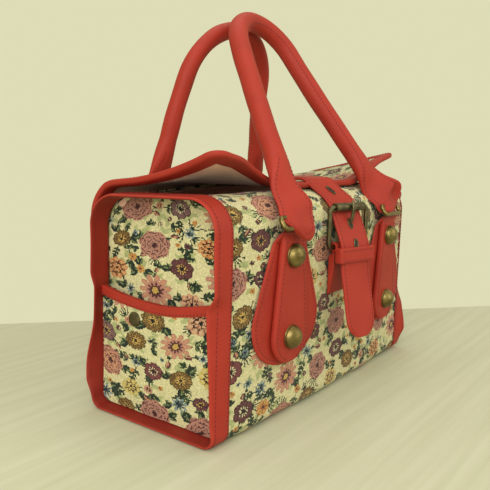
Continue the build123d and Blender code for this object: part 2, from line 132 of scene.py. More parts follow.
# Shader kit


def operator_method(operation: str, turned: bool = False) -> Callable[[Wire, Wire | float], Wire]:
    """A Python operator that adds one Math node.

    Args:
        operation: The node's operation.
        turned: The wire is the second value.

    Returns:
        The method.
    """

    def method(self: Wire, other: Wire | float) -> Wire:
        """Both values put through the node."""
        return self.kit.maths(operation, other, self) if turned else self.kit.maths(operation, self, other)

    return method


class Wire:
    """One value in a shader: Python's operators add the Math nodes."""

    def __init__(self, kit: NodeKit, socket: bpy.types.NodeSocket) -> None:
        self.kit = kit
        self.socket = socket

    def math(self, operation: str, *others: Wire | float) -> Wire:
        """This value and others put through one Math node."""
        return self.kit.maths(operation, self, *others)

    __add__ = __radd__ = operator_method("ADD")
    __sub__ = operator_method("SUBTRACT")
    __rsub__ = operator_method("SUBTRACT", turned=True)
    __mul__ = __rmul__ = operator_method("MULTIPLY")
    __pow__ = operator_method("POWER")

    def sine(self) -> Wire:
        """Sine of the value."""
        return self.math("SINE")

    def size(self) -> Wire:
        """The value without its sign."""
        return self.math("ABSOLUTE")

    def clamped(self) -> Wire:
        """The value held between zero and one."""
        return self.math("MAXIMUM", 0.0).math("MINIMUM", 1.0)


class NodeKit:
    """Adds nodes to one node tree."""

    def __init__(self, tree: bpy.types.NodeTree) -> None:
        """Keep the tree."""
        self.tree = tree

    def node(
        self, kind: str, settings: dict | None = None, inputs: dict | None = None, output: int | str = 0
    ) -> Wire:
        """Add any node.

        Args:
            kind: The node's type.
            settings: Its own settings, set first; "stops" holds the stops of a ramp.
            inputs: Values or wires for its sockets, by name or number.
            output: The output that is wanted.

        Returns:
            The wire that leaves the wanted output.
        """
        made = self.tree.nodes.new(kind)
        for key, value in (settings or {}).items():
            if key == "stops":
                ramp = made.color_ramp.elements
                while len(ramp) < len(value):
                    ramp.new(0.5)
                for stop, (place, colour) in zip(ramp, value):
                    stop.position = place
                    stop.color = opaque(colour)
            else:
                setattr(made, key, value)
        for key, value in (inputs or {}).items():
            self.feed(made.inputs[key], value)
        return Wire(self, made.outputs[output])

    def feed(self, socket: bpy.types.NodeSocket, value: Wire | float | tuple) -> None:
        """Link or set one socket."""
        if isinstance(value, Wire):
            self.tree.links.new(value.socket, socket)
        else:
            socket.default_value = value

    def maths(self, operation: str, *values: Wire | float) -> Wire:
        """One Math node over one or more values."""
        return self.node("ShaderNodeMath", {"operation": operation}, dict(enumerate(values)))


class Recipe(NodeKit):
    """The node tree of one material."""

    def __init__(self, name: str) -> None:
        """Start a material with its plain surface shader."""
        self.material = bpy.data.materials.new(name)
        self.material.use_nodes = True
        super().__init__(self.material.node_tree)
        self.shader = self.tree.nodes["Principled BSDF"]

    def mixed(self, share: Wire | float, first: Wire | Colour, second: Wire | Colour, how: str = "MIX") -> Wire:
        """One colour mixed into another by a share."""
        pair = [value if isinstance(value, Wire) else opaque(value) for value in (first, second)]
        settings = {"data_type": "RGBA", "blend_type": how}
        return self.node("ShaderNodeMix", settings, {0: share, 6: pair[0], 7: pair[1]}, output=2)

    def shades(self, value: Wire) -> Wire:
        """A grey from a value."""
        return self.node("ShaderNodeCombineColor", None, {0: value, 1: value, 2: value})

    def place(self) -> Wire:
        """Object coordinates, which are metres in the bag's own frame."""
        return self.node("ShaderNodeTexCoord", output="Object")

    def noise(self, scale: float, detail: float = 2.0, roughness: float = 0.5) -> Wire:
        """Cloudy noise over object coordinates, from zero to one."""
        inputs = {"Vector": self.place(), "Scale": scale, "Detail": detail, "Roughness": roughness}
        return self.node("ShaderNodeTexNoise", None, inputs)

    def cells(self, scale: float) -> Wire:
        """Distance to the nearest cell centre over object coordinates."""
        return self.node("ShaderNodeTexVoronoi", None, {"Vector": self.place(), "Scale": scale})

    def attribute(self, name: str, output: str) -> Wire:
        """A value that the mesh itself carries."""
        return self.node("ShaderNodeAttribute", {"attribute_name": name}, output=output)

    def bump(self, height: Wire, strength: float, depth: float) -> Wire:
        """A surface normal from a height."""
        inputs = {"Height": height, "Strength": strength, "Distance": depth}
        return self.node("ShaderNodeBump", None, inputs)

    def surface(self, **inputs: Wire | float | tuple) -> Finish:
        """Feed the surface shader and return the finished material."""
        for name, value in inputs.items():
            self.feed(self.shader.inputs[name.replace("_", " ")], value)
        return self.material


# Finishes


@dataclass(frozen=True)
class LeatherFinish:
    """Fine grained leather: mottled, worn on its edges, with painted shade darkening its creases."""

    name: str
    base: Colour
    shade: Colour
    worn: Colour
    grain: float = 850.0

    def material(self) -> Finish:
        """The leather's material.

        Returns:
            The finished material.
        """
        recipe = Recipe(self.name)
        cloud = recipe.noise(34.0, 3.0)
        # Above zero marks worn edges; below zero darkens the leather as painted shade in creases and under parts.
        wear = recipe.attribute("wear", "Fac")
        scuff = recipe.noise(210.0, 4.0, 0.65)
        tone = recipe.mixed((cloud * 1.5 - 0.3).clamped(), self.shade, self.base)
        rubbed = ((wear * 2.4 - 0.25) * (scuff + 0.25)).clamped() * 0.55
        tone = recipe.mixed(rubbed, tone, self.worn)
        # Painted shade: below zero the tone is pulled towards a deep shade colour.
        tone = recipe.mixed((wear * -2.6).clamped() * 0.7, tone, tuple(0.35 * c for c in self.shade))
        pebble = recipe.cells(self.grain)
        fine = recipe.noise(2600.0, 2.0)
        pores = recipe.cells(self.grain * 0.45)
        height = pebble * 0.6 + fine * 0.35 + pores * 0.25
        return recipe.surface(
            Base_Color=tone,
            Roughness=0.46 + 0.16 * scuff + 0.1 * pebble,
            Specular_IOR_Level=0.3,
            Normal=recipe.bump(height, 0.32, 0.0005),
        )


@dataclass(frozen=True)
class TapestryFinish:
    """Woven cloth: each stitch has its own colour and stands up a little, with painted shade in the grooves between
    stitches.
    """

    name: str

    def material(self) -> Finish:
        """The cloth's material.

        Returns:
            The finished material.
        """
        recipe = Recipe(self.name)
        stitch = recipe.attribute("stitch", "Color")
        weave = recipe.attribute("weave", "Vector")
        across = recipe.node("ShaderNodeSeparateXYZ", None, {0: weave}, "X")
        along = recipe.node("ShaderNodeSeparateXYZ", None, {0: weave}, "Y")
        rib = (across * math.pi).sine().size()
        pick = (along * math.pi).sine().size()
        fuzz = recipe.noise(1900.0, 3.0, 0.7)
        raised = rib ** 0.6 * (0.45 + 0.55 * pick ** 0.6)
        # Painted shade: the colour is darkened in the grooves between stitches and lightened a little on their tops.
        tone = recipe.mixed(1.0, stitch, recipe.shades(0.74 + 0.3 * raised), "MULTIPLY")
        return recipe.surface(
            Base_Color=tone,
            Roughness=0.82 + 0.14 * fuzz,
            Specular_IOR_Level=0.22,
            Sheen_Weight=0.12,
            Sheen_Roughness=0.5,
            Normal=recipe.bump(raised + 0.35 * fuzz, 0.5, 0.0005),
        )


@dataclass(frozen=True)
class SatinFinish:
    """Plain lining cloth with a soft sheen and a fine twill."""

    name: str
    base: Colour
    shade: Colour

    def material(self) -> Finish:
        """The lining's material.

        Returns:
            The finished material.
        """
        recipe = Recipe(self.name)
        cloud = recipe.noise(26.0, 3.0)
        inputs = {"Vector": recipe.place(), "Scale": 420.0, "Distortion": 0.6, "Detail": 1.0}
        twill = recipe.node("ShaderNodeTexWave", {"bands_direction": "DIAGONAL"}, inputs, "Fac")
        tone = recipe.mixed((cloud * 1.4 - 0.2).clamped(), self.shade, self.base)
        return recipe.surface(
            Base_Color=tone,
            Roughness=0.46 + 0.12 * twill,
            Sheen_Weight=0.25,
            Normal=recipe.bump(twill, 0.18, 0.0004),
        )


@dataclass(frozen=True)
class BrassFinish:
    """Antique brass: brown in patches, bright where it is handled."""

    name: str
    bright: Colour
    dull: Colour
    patina: float = 0.5

    def material(self) -> Finish:
        """The metal's material.

        Returns:
            The finished material.
        """
        recipe = Recipe(self.name)
        blotch = recipe.noise(150.0, 4.0, 0.6)
        speck = recipe.noise(1300.0, 3.0, 0.6)
        dark = ((blotch * 0.7 + speck * 0.5 - 0.42) * 2.2 + self.patina - 0.5).clamped()
        scratch = recipe.noise(3200.0, 2.0)
        return recipe.surface(
            Base_Color=recipe.mixed(dark, self.bright, self.dull),
            Metallic=1.0,
            Roughness=0.24 + 0.24 * dark + 0.06 * scratch,
            Normal=recipe.bump(speck + 0.4 * scratch, 0.08, 0.0003),
        )


@dataclass(frozen=True)
class ThreadFinish:
    """Twisted sewing thread."""

    name: str
    base: Colour

    def material(self) -> Finish:
        """The thread's material."""
        recipe = Recipe(self.name)
        twist = recipe.noise(2400.0, 2.0)
        tone = recipe.mixed(twist, self.base, tuple(1.5 * c for c in self.base))
        return recipe.surface(Base_Color=tone, Roughness=0.7 + 0.15 * twist)


@dataclass(frozen=True)
class CardFinish:
    """Grey board with fibres in it."""

    name: str
    base: Colour

    def material(self) -> Finish:
        """The board's material."""
        recipe = Recipe(self.name)
        fibre = recipe.noise(700.0, 5.0, 0.7)
        tone = recipe.mixed(fibre, tuple(0.7 * c for c in self.base), self.base)
        return recipe.surface(Base_Color=tone, Roughness=0.85 + 0.1 * fibre)


# Flower pattern


@dataclass(frozen=True)
class Palette:
    """Thread colours of the tapestry."""

    cream: Colour = linear(228, 221, 184)
    straw: Colour = linear(212, 207, 162)
    plum: Colour = linear(112, 68, 70)
    wine: Colour = linear(84, 44, 48)
    ink: Colour = linear(34, 32, 34)
    olive: Colour = linear(134, 108, 62)
    bronze: Colour = linear(100, 80, 50)
    gold: Colour = linear(206, 176, 108)
    peach: Colour = linear(206, 160, 130)
    pink: Colour = linear(196, 150, 134)
    amber: Colour = linear(204, 148, 92)
    mist: Colour = linear(132, 148, 146)
    navy: Colour = linear(48, 62, 74)
    forest: Colour = linear(46, 68, 54)
    moss: Colour = linear(92, 110, 74)
    sage: Colour = linear(176, 184, 134)
    sky: Colour = linear(158, 176, 182)
    mauve: Colour = linear(142, 114, 112)
    rosewood: Colour = linear(134, 78, 78)
    lemon: Colour = linear(208, 190, 116)
    dusk: Colour = linear(188, 146, 130)


THREAD = Palette()


class Flower(Enum):
    """The kinds of flower in the pattern."""

    PANSY = "pansy"
    ZINNIA = "zinnia"
    ROSE = "rose"
    MUM = "mum"
    DAISY = "daisy"
    MARIGOLD = "marigold"
    STAR = "star"


class Stitches:
    """The colours of all stitches of one sheet, and the flat place of each."""

    def __init__(self, across: Grid, along: Grid, seed: int) -> None:
        """Start with the speckled ground.

        Args:
            across: Flat place of each stitch across the cloth.
            along: Flat place of each stitch along the cloth.
            seed: Makes the scatter the same in each run.
        """
        self.chance = np.random.default_rng(seed)
        self.across = across + self.chance.normal(0.0, 0.22, across.shape)
        self.along = along + self.chance.normal(0.0, 0.22, along.shape)
        fleck = self.chance.random(across.shape)[:, None]
        self.colour = np.array(THREAD.cream) * fleck + np.array(THREAD.straw) * (1 - fleck)

    def near(self, x: float, y: float, reach: float, turn: float) -> tuple[Grid, Grid, Grid]:
        """The stitches within reach of a point.

        Args:
            x: The point's flat place across.
            y: The point's flat place along.
            reach: Distance that counts as near.
            turn: Turn of the local axes.

        Returns:
            The stitches' numbers, and their places along the local axes.
        """
        hit = np.flatnonzero((abs(self.across - x) < reach) & (abs(self.along - y) < reach))
        dx, dy = self.across[hit] - x, self.along[hit] - y
        c, s = math.cos(turn), math.sin(turn)
        return hit, dx * c + dy * s, dy * c - dx * s

    def dye(self, hit: Grid, inside: Grid, colour: Colour, depth: float = 1.0) -> None:
        """Colour the stitches of hit that are inside."""
        chosen = hit[inside]
        self.colour[chosen] += (np.array(colour) - self.colour[chosen]) * depth

    def flower(self, kind: Flower, x: float, y: float, radius: float) -> None:
        """Draw one flower at a flat place.

        Args:
            kind: What kind it is.
            x: Flat place across.
            y: Flat place along.
            radius: Its radius.
        """
        turn = self.chance.uniform(0, 2 * math.pi)
        hit, u, v = self.near(x, y, 1.1 * radius, turn)
        squash = self.chance.uniform(0.86, 1.0)
        r = np.hypot(u, v / squash) / radius
        t = np.arctan2(v / squash, u)
        getattr(Bloom(self, hit, r, t), kind.value)()

    def pick(self, *colours: Colour) -> Colour:
        """One of some colours by chance."""
        return colours[int(self.chance.integers(len(colours)))]

    def leaf(self, x: float, y: float, length: float, turn: float, pale: bool = False) -> None:
        """Draw one pointed leaf from its stalk end.

        Args:
            x: Flat place of the stalk end across.
            y: Flat place of the stalk end along.
            length: Length of the leaf.
            turn: Direction that it points in.
            pale: Draw it as a faint shadow on the ground.
        """
        hit, u, v = self.near(x, y, 1.1 * length, turn)
        share = u / length
        half = 0.27 * np.sin(np.clip(share, 0, 1) ** 0.8 * math.pi)
        inside = (share > 0) & (share < 1) & (abs(v) / length < half)
        if pale:
            self.dye(hit, inside, THREAD.sage, 0.8)
            return
        self.dye(hit, inside, THREAD.forest)
        self.dye(hit, inside & (v > 0.05 * length), THREAD.moss, 0.85)
        self.dye(hit, inside & (v < -0.13 * length), THREAD.ink, 0.6)
        self.dye(hit, inside & (abs(v - 0.07 * length) < 0.5) & (length > 8), THREAD.sage, 0.6)

    def stem(self, x: float, y: float, length: float, turn: float, bow: float) -> None:
        """Draw a thin bowed stem."""
        hit, u, v = self.near(x, y, 1.1 * length, turn)
        share = np.clip(u / length, 0, 1)
        inside = (u > 0) & (u < length) & (abs(v - bow * np.sin(share * math.pi)) < 0.65)
        self.dye(hit, inside, THREAD.forest)

    def sprig(self, x: float, y: float, length: float, turn: float) -> None:
        """Draw a stem with leaves along both sides.

        Args:
            x: Flat place across.
            y: Flat place along.
            length: Its length.
            turn: Direction that it points in.
        """
        self.stem(x, y, length, turn, 0.0)
        for step in range(3):
            at = length * (0.3 + 0.3 * step)
            px, py = x + at * math.cos(turn), y + at * math.sin(turn)
            size = length * (0.44 - 0.05 * step)
            for side in (-1, 1):
                self.leaf(px, py, size, turn + side * self.chance.uniform(0.75, 1.0))
        self.leaf(x + length * math.cos(turn), y + length * math.sin(turn), 0.34 * length, turn)

    def fern(self, x: float, y: float, length: float, turn: float) -> None:
        """Draw thin blades that spread from one root."""
        for spread in (-0.7, -0.3, 0.1, 0.5, 0.9):
            self.stem(x, y, length * self.chance.uniform(0.7, 1.0), turn + spread, 1.6 * spread)

    def bud(self, x: float, y: float, length: float, turn: float) -> None:
        """Draw a closed bud on a short stalk.

        Args:
            x: Flat place across.
            y: Flat place along.
            length: Its length.
            turn: Direction that it points in.
        """
        self.stem(x, y, length, turn, 0.12 * length)
        tip = (x + 0.75 * length * math.cos(turn), y + 0.75 * length * math.sin(turn))
        hit, u, v = self.near(*tip, length, turn)
        round_share = np.hypot((u - 0.25 * length) / (0.42 * length), v / (0.24 * length))
        self.dye(hit, round_share < 1, THREAD.plum)
        self.dye(hit, (round_share < 0.8) & (v > 0), THREAD.peach)
        self.leaf(x, y, 0.6 * length, turn + 0.9)


@dataclass
class Bloom:
    """One flower: its stitches, with each one's share of the radius and direction from the middle."""

    cloth: Stitches
    hit: Grid
    r: Grid
    t: Grid

    def dye(self, inside: Grid, colour: Colour, depth: float = 1.0) -> None:
        """Colour the flower's stitches that are inside."""
        self.cloth.dye(self.hit, inside, colour, depth)

    def pansy(self) -> None:
        """Six round petals with a dark heart and pale rays."""
        r, t = self.r, self.t
        wave = abs(np.cos(3 * t))
        edge = 0.8 + 0.2 * wave**0.5
        petal = self.cloth.pick(THREAD.plum, THREAD.mauve, THREAD.rosewood, THREAD.plum)
        self.dye(r < edge, THREAD.wine)
        self.dye((r < edge - 0.07) & (wave > 0.16), petal)
        self.dye((r < edge - 0.12) & (np.cos(18 * t) > 0.6) & (r > 0.45), THREAD.mauve, 0.5)
        self.dye((r < 0.46) & (r > 0.2) & (np.cos(11 * t) > 0.25), self.cloth.pick(THREAD.gold, THREAD.cream))
        self.dye((r < 0.42) & (r > 0.26) & (np.cos(11 * t) < -0.3), THREAD.ink)
        self.dye(r < 0.18, THREAD.ink)

    def zinnia(self) -> None:
        """A broad olive head with scalloped rows round a spotted heart."""
        r, t = self.r, self.t
        wave = abs(np.cos(5 * t))
        edge = 0.88 + 0.12 * wave
        self.dye(r < edge, THREAD.bronze)
        self.dye((r < edge - 0.08) & ((r * 5.0 + 0.5 * wave) % 1.0 > 0.34), THREAD.olive)
        self.dye((r < edge - 0.1) & (np.cos(21 * t) > 0.72), THREAD.gold, 0.5)
        self.dye(r < 0.44, THREAD.gold)
        self.dye((r < 0.42) & (r > 0.24) & (np.cos(10 * t) > 0.2), THREAD.ink)
        self.dye(r < 0.17, THREAD.ink)

    def rose(self) -> None:
        """Turned-in petals drawn as rows of arcs."""
        r, t = self.r, self.t
        edge = 0.88 + 0.12 * abs(np.cos(3.5 * t))
        row = np.floor(r * 4.4)
        arc = (r * 4.4 + 0.55 * abs(np.cos(2.5 * t + 1.9 * row))) % 1.0
        self.dye(r < edge, self.cloth.pick(THREAD.peach, THREAD.dusk))
        self.dye((r < edge) & (r > 0.62) & (arc > 0.5), THREAD.pink)
        self.dye((r < edge - 0.03) & (arc < 0.26), THREAD.plum)
        self.dye(r < 0.16, THREAD.wine)

    def mum(self) -> None:
        """Two rows of narrow petals with dark outlines."""
        r, t = self.r, self.t
        outer, inner = abs(np.cos(4.5 * t)), abs(np.cos(3.5 * t + 0.6))
        edge = 0.78 + 0.22 * outer**0.7
        line = self.cloth.pick(THREAD.wine, THREAD.ink)
        self.dye(r < edge, self.cloth.pick(THREAD.amber, THREAD.peach, THREAD.gold, THREAD.lemon))
        self.dye((r < edge - 0.1) & (outer > 0.8), THREAD.cream, 0.35)
        self.dye((r < edge - 0.05) & (r > 0.4) & (outer < 0.26), line)
        self.dye(abs(r - 0.36 - 0.16 * inner) < 0.06, line)
        self.dye((r < 0.42) & (inner < 0.3), line)
        self.dye(r < 0.13, THREAD.ink)

    def daisy(self) -> None:
        """Long pointed petals, dark at their roots, round a gold button."""
        r, t = self.r, self.t
        wave = abs(np.cos(5.5 * t))
        edge = 0.48 + 0.52 * wave**0.55
        self.dye(r < edge, THREAD.pink)
        self.dye((r < edge - 0.1) & (wave > 0.8) & (r > 0.5), THREAD.peach)
        self.dye(r < 0.3 + 0.22 * wave**2, THREAD.plum)
        self.dye(r < 0.25, THREAD.ink)
        self.dye(r < 0.2, THREAD.gold)

    def marigold(self) -> None:
        """Eight short petals with dark rays."""
        r, t = self.r, self.t
        wave = abs(np.cos(4 * t))
        edge = 0.76 + 0.24 * wave**0.6
        self.dye(r < edge, THREAD.amber)
        self.dye((r < edge - 0.12) & (r > 0.45) & (wave > 0.75), THREAD.gold)
        self.dye((r < 0.66) & (wave < 0.32), THREAD.plum)
        self.dye(r < 0.2, THREAD.wine)

    def star(self) -> None:
        """Thin pale petals round a dark point."""
        r, t = self.r, self.t
        wave = abs(np.cos(4 * t))
        self.dye(r < 0.25 + 0.75 * wave**0.9, THREAD.mist)
        self.dye((r < 0.85) & (wave > 0.86), THREAD.sky)
        self.dye(r < 0.22 + 0.4 * wave**2.5, THREAD.navy)


class Garden:
    """The scatter of flowers, leaves and buds over one piece of cloth."""

    ROWS = (
        ((Flower.DAISY, Flower.ROSE), 19.0, 7.0),
        ((Flower.PANSY, Flower.MUM, Flower.ZINNIA, Flower.PANSY, Flower.MUM, Flower.PANSY), 13.0, 5.0),
        ((Flower.MARIGOLD, Flower.PANSY, Flower.STAR, Flower.STAR, Flower.MUM), 9.5, 4.0),
        ((Flower.STAR, Flower.STAR, Flower.MARIGOLD, Flower.DAISY), 6.0, 3.0),
        ((Flower.MARIGOLD, Flower.STAR, Flower.PANSY), 3.2, 2.5),
    )
    TRIES = (0.0005, 0.006, 0.007, 0.008, 0.008)
    SQUAT = 1.38
    DEPTH = 1.28

    def __init__(self, low: tuple[float, float], high: tuple[float, float], seed: int) -> None:
        """Keep the flat box that the pattern fills."""
        self.low, self.high, self.seed = low, high, seed

    def _spot(self, chance: np.random.Generator) -> tuple[float, float]:
        """A random flat place."""
        along = chance.uniform(self.low[1], self.high[1]) * self.SQUAT
        return chance.uniform(self.low[0], self.high[0]), along

    def paint(self, across: Grid, along: Grid) -> Grid:
        """Work out the colour of each stitch.

        Args:
            across: Flat place of each stitch across the cloth.
            along: Flat place of each stitch along the cloth.

        Returns:
            One linear colour for each stitch.
        """
        cloth = Stitches(across, along * self.SQUAT, self.seed)
        chance = cloth.chance
        area = (self.high[0] - self.low[0]) * (self.high[1] - self.low[1]) * self.SQUAT
        heads: list[tuple[float, float, float, Flower]] = []
        for (kinds, radius, gap), tries in zip(self.ROWS, self.TRIES):
            for _ in range(int(tries * area)):
                x, y = self._spot(chance)
                size = radius * chance.uniform(0.9, 1.12)
                if all(math.hypot(x - hx, y - hy) > size + hr + gap for hx, hy, hr, _ in heads):
                    heads.append((x, y, size, kinds[int(chance.integers(len(kinds)))]))
        for _ in range(int(0.0035 * area)):
            x, y = self._spot(chance)
            turn = chance.uniform(0, 2 * math.pi)
            for side in (-0.6, 0.6):
                cloth.leaf(x, y, chance.uniform(6, 11), turn + side, pale=True)
        for x, y, size, _ in heads:
            if size < 5:
                continue
            start = chance.uniform(0, 2 * math.pi)
            for turn in start + np.array((0.0, 2.0, 4.1)):
                root = (x + 0.85 * size * math.cos(turn), y + 0.85 * size * math.sin(turn))
                self._foliage(cloth, root, turn + chance.uniform(-0.5, 0.5))
        for _ in range(int(0.004 * area)):
            x, y = self._spot(chance)
            if all(math.hypot(x - hx, y - hy) > hr + 5.0 for hx, hy, hr, _ in heads):
                turn = chance.uniform(0, 2 * math.pi)
                for spread in (-0.9, 0.0, 0.9):
                    cloth.leaf(x, y, chance.uniform(6.5, 9.5), turn + spread)
        for x, y, size, kind in heads:
            cloth.flower(kind, x, y, size)
        grain = chance.normal(1.0, 0.07, across.shape)[:, None]
        return np.clip(cloth.colour * grain, 0.0, 1.0) ** self.DEPTH

    @staticmethod
    def _foliage(cloth: Stitches, root: tuple[float, float], turn: float) -> None:
        """Grow one leaf, sprig or bud out of a flower's edge.

        Args:
            cloth: The stitches.
            root: Flat place where it starts.
            turn: Direction that it points in.
        """
        pick = cloth.chance.random()
        if pick < 0.3:
            cloth.leaf(*root, cloth.chance.uniform(12, 16), turn)
            cloth.leaf(*root, cloth.chance.uniform(9, 12), turn + 0.9)
        elif pick < 0.58:
            cloth.sprig(*root, cloth.chance.uniform(14, 20), turn)
        elif pick < 0.74:
            cloth.bud(*root, cloth.chance.uniform(9, 12), turn + 0.3)
        elif pick < 0.92:
            cloth.fern(*root, cloth.chance.uniform(10, 15), turn)


# Mesh helpers


def deselect() -> None:
    """Leave edit mode and select nothing."""
    if bpy.context.object and bpy.context.object.mode != "OBJECT":
        bpy.ops.object.mode_set(mode="OBJECT")
    bpy.ops.object.select_all(action="DESELECT")


def take(piece: Piece) -> None:
    """Make one piece the only selected and the active one."""
    deselect()
    piece.select_set(True)
    bpy.context.view_layer.objects.active = piece


def edit_all(piece: Piece, step: Callable[..., set], **settings: object) -> None:
    """Run one edit-mode operator over all of a piece.

    Args:
        piece: The piece.
        step: The operator.
        settings: Its settings.
    """
    take(piece)
    bpy.ops.object.mode_set(mode="EDIT")
    bpy.ops.mesh.select_all(action="SELECT")
    step(**settings)
    bpy.ops.object.mode_set(mode="OBJECT")


def new_piece(name: str, points: Grid, faces: list[tuple[int, ...]]) -> Piece:
    """A piece from points in millimetres and faces.

    Args:
        name: Name of the piece.
        points: Points in millimetres, one row each.
        faces: Numbers of each face's points.

    Returns:
        The piece.
    """
    mesh = bpy.data.meshes.new(name)
    mesh.from_pydata((points * MM).tolist(), [], faces)
    piece = bpy.data.objects.new(name, mesh)
    bpy.context.scene.collection.objects.link(piece)
    return piece


def joined(made: list[Piece], name: str) -> Piece:
    """Some pieces made into one.

    Args:
        made: The pieces.
        name: Name of the piece.

    Returns:
        The one piece.
    """
    take(made[0])
    for other in made[1:]:
        other.select_set(True)
    if len(made) > 1:
        bpy.ops.object.join()
    made[0].name = made[0].data.name = name
    return made[0]


def apply_modifier(piece: Piece, kind: str, **settings: object) -> None:
    """Add a modifier, set it and apply it.

    Args:
        piece: The piece.
        kind: What kind it is.
        settings: Its settings.
    """
    take(piece)
    modifier = piece.modifiers.new(kind.title(), kind)
    for key, value in settings.items():
        setattr(modifier, key, value)
    bpy.ops.object.modifier_apply(modifier=modifier.name)


def rounded(piece: Piece) -> Piece:
    """A piece with its faces divided once and its shape rounded."""
    apply_modifier(piece, "SUBSURF", levels=1, render_levels=1)
    return piece


def points_of(mesh: bpy.types.Mesh) -> Grid:
    """The mesh's vertices, one row each, in metres."""
    flat = np.empty(3 * len(mesh.vertices))
    mesh.vertices.foreach_get("co", flat)
    return flat.reshape(-1, 3)


def set_points(mesh: bpy.types.Mesh, points: Grid) -> None:
    """Move the mesh's vertices."""
    mesh.vertices.foreach_set("co", np.ascontiguousarray(points, dtype=np.float32).ravel())
    mesh.update()


def normals_of(mesh: bpy.types.Mesh) -> Grid:
    """The mesh's vertex normals, one row each."""
    flat = np.empty(3 * len(mesh.vertices), dtype=np.float32)
    mesh.vertex_normals.foreach_get("vector", flat)
    return flat.reshape(-1, 3).astype(float)


def keep_attribute(mesh: bpy.types.Mesh, name: str, kind: str, values: Grid, domain: str = "POINT") -> None:
    """Store values on the mesh for a material to read."""
    field_name = {"FLOAT": "value", "FLOAT_VECTOR": "vector", "FLOAT_COLOR": "color"}[kind]
    layer = mesh.attributes.new(name, kind, domain)
    layer.data.foreach_set(field_name, np.ascontiguousarray(values, dtype=np.float32).ravel())


def ripple(a: Grid, b: Grid, length: float, seed: int) -> Grid:
    """Soft uneven waves between about minus one and one, with a typical wave length.

    Args:
        a: First flat place.
        b: Second flat place.
        length: Typical wave length.
        seed: Makes the scatter the same in each run.

    Returns:
        The heights of the waves.
    """
    chance = np.random.default_rng(seed)
    total = np.zeros_like(a, dtype=float)
    count = 7
    for _ in range(count):
        turn, phase = chance.uniform(0, 2 * math.pi, 2)
        wave = length * chance.uniform(0.7, 1.6)
        total += np.sin((a * math.cos(turn) + b * math.sin(turn)) * 2 * math.pi / wave + phase)
    return total / count**0.5 / 1.2


def paint(piece: Piece, material: Finish, sharp: float) -> None:
    """Give a piece its finish, and smooth shading over edges of less than an angle in degrees."""
    piece.data.materials.clear()
    piece.data.materials.append(material)
    take(piece)
    bpy.ops.object.shade_smooth_by_angle(angle=math.radians(sharp))


def dress(piece: Piece, material: Finish, slot: Slot, body: Body, *nodes: str) -> Piece:
    """Give a piece its material and its place in the bag.

    Args:
        piece: The finished piece.
        material: Its finish.
        slot: The record's slot for that finish; not used.
        body: The moving body that carries it.
        nodes: The solids that it stands for.

    Returns:
        The piece.
    """
    paint(piece, material, 60.0)
    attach(piece, body.value)
    if nodes:
        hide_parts(*nodes)
    LOG.info("%s: %d faces", piece.name, len(piece.data.polygons))
    return piece


def sheet_grid(name: str, cells: tuple[int, int], place: Place) -> tuple[Piece, Grid, Grid]:
    """A fine grid laid over a curved place.

    Args:
        name: Name of the piece.
        cells: Number of faces across and along.
        place: Gives points in millimetres from shares across and along.

    Returns:
        The piece, and the shares across and along of the middle of each face.
    """
    deselect()
    bpy.ops.mesh.primitive_grid_add(x_subdivisions=cells[0], y_subdivisions=cells[1], size=1.0)
    piece = bpy.context.object
    piece.name = piece.data.name = name
    mesh = piece.data
    flat = points_of(mesh)
    middle = np.empty(3 * len(mesh.polygons))
    mesh.polygons.foreach_get("center", middle)
    middle = middle.reshape(-1, 3)
    u, v = flat[:, 0] + 0.5, flat[:, 1] + 0.5
    keep_attribute(mesh, "weave", "FLOAT_VECTOR", np.stack([u * cells[0], v * cells[1], 0 * u], 1))
    set_points(mesh, place(u, v) * MM)
    return piece, middle[:, 0] + 0.5, middle[:, 1] + 0.5


def stitch_colours(piece: Piece, colours: Grid) -> None:
    """Colour each face of a grid."""
    corners = np.repeat(np.column_stack([colours, np.ones(len(colours))]), 4, axis=0)
    keep_attribute(piece.data, "stitch", "FLOAT_COLOR", corners, "CORNER")


def strip_mesh(name: str, rows: Grid, closed: bool) -> Piece:
    """A skin over rows of points, closed across each row.

    Args:
        name: Name of the piece.
        rows: Points in millimetres, as rows by points by three.
        closed: Join the last row to the first.

    Returns:
        The piece, with its ends capped where it isn't closed.
    """
    count, around = rows.shape[:2]
    faces = []
    for i in range(count if closed else count - 1):
        j = (i + 1) % count
        for k in range(around):
            m = (k + 1) % around
            faces.append((i * around + k, i * around + m, j * around + m, j * around + k))
    if not closed:
        faces.append(tuple(range(around)))
        faces.append(tuple((count - 1) * around + k for k in reversed(range(around))))
    piece = new_piece(name, rows.reshape(-1, 3), faces)
    edit_all(piece, bpy.ops.mesh.normals_make_consistent, inside=False)
    return piece


def softened(node: Piece, name: str, voxel: float, passes: int) -> Piece:
    """A copy of a solid with evenly spread faces and softened edges, which knows where it is worn and where its
    creases get painted shade.

    Args:
        node: The solid.
        name: Name of the new piece.
        voxel: Size of its faces in millimetres.
        passes: Number of smoothing passes.

    Returns:
        The new piece.
    """
    piece = node.copy()
    piece.data = node.data.copy()
    piece.parent = None
    for key in list(piece.keys()):
        del piece[key]
    piece.name = piece.data.name = name
    bpy.context.scene.collection.objects.link(piece)
    edit_all(piece, bpy.ops.mesh.remove_doubles, threshold=0.02 * MM)
    apply_modifier(piece, "REMESH", mode="VOXEL", voxel_size=voxel * MM)
    apply_modifier(piece, "SMOOTH", factor=0.5, iterations=2)
    sharp = points_of(piece.data)
    apply_modifier(piece, "SMOOTH", factor=0.5, iterations=passes)
    soft = points_of(piece.data)
    # Raised edges come out above zero as wear; hollows come out below zero, which paints shade in the creases.
    worn = np.einsum("ij,ij->i", sharp - soft, normals_of(piece.data)) / (0.35 * MM)
    keep_attribute(piece.data, "wear", "FLOAT", np.clip(worn, -1, 1))
    return piece


def no_wear_or_shade(piece: Piece) -> None:
    """Mark a piece as evenly worn and free of painted shade, for finishes that ask."""
    keep_attribute(piece.data, "wear", "FLOAT", np.zeros(len(piece.data.vertices)))


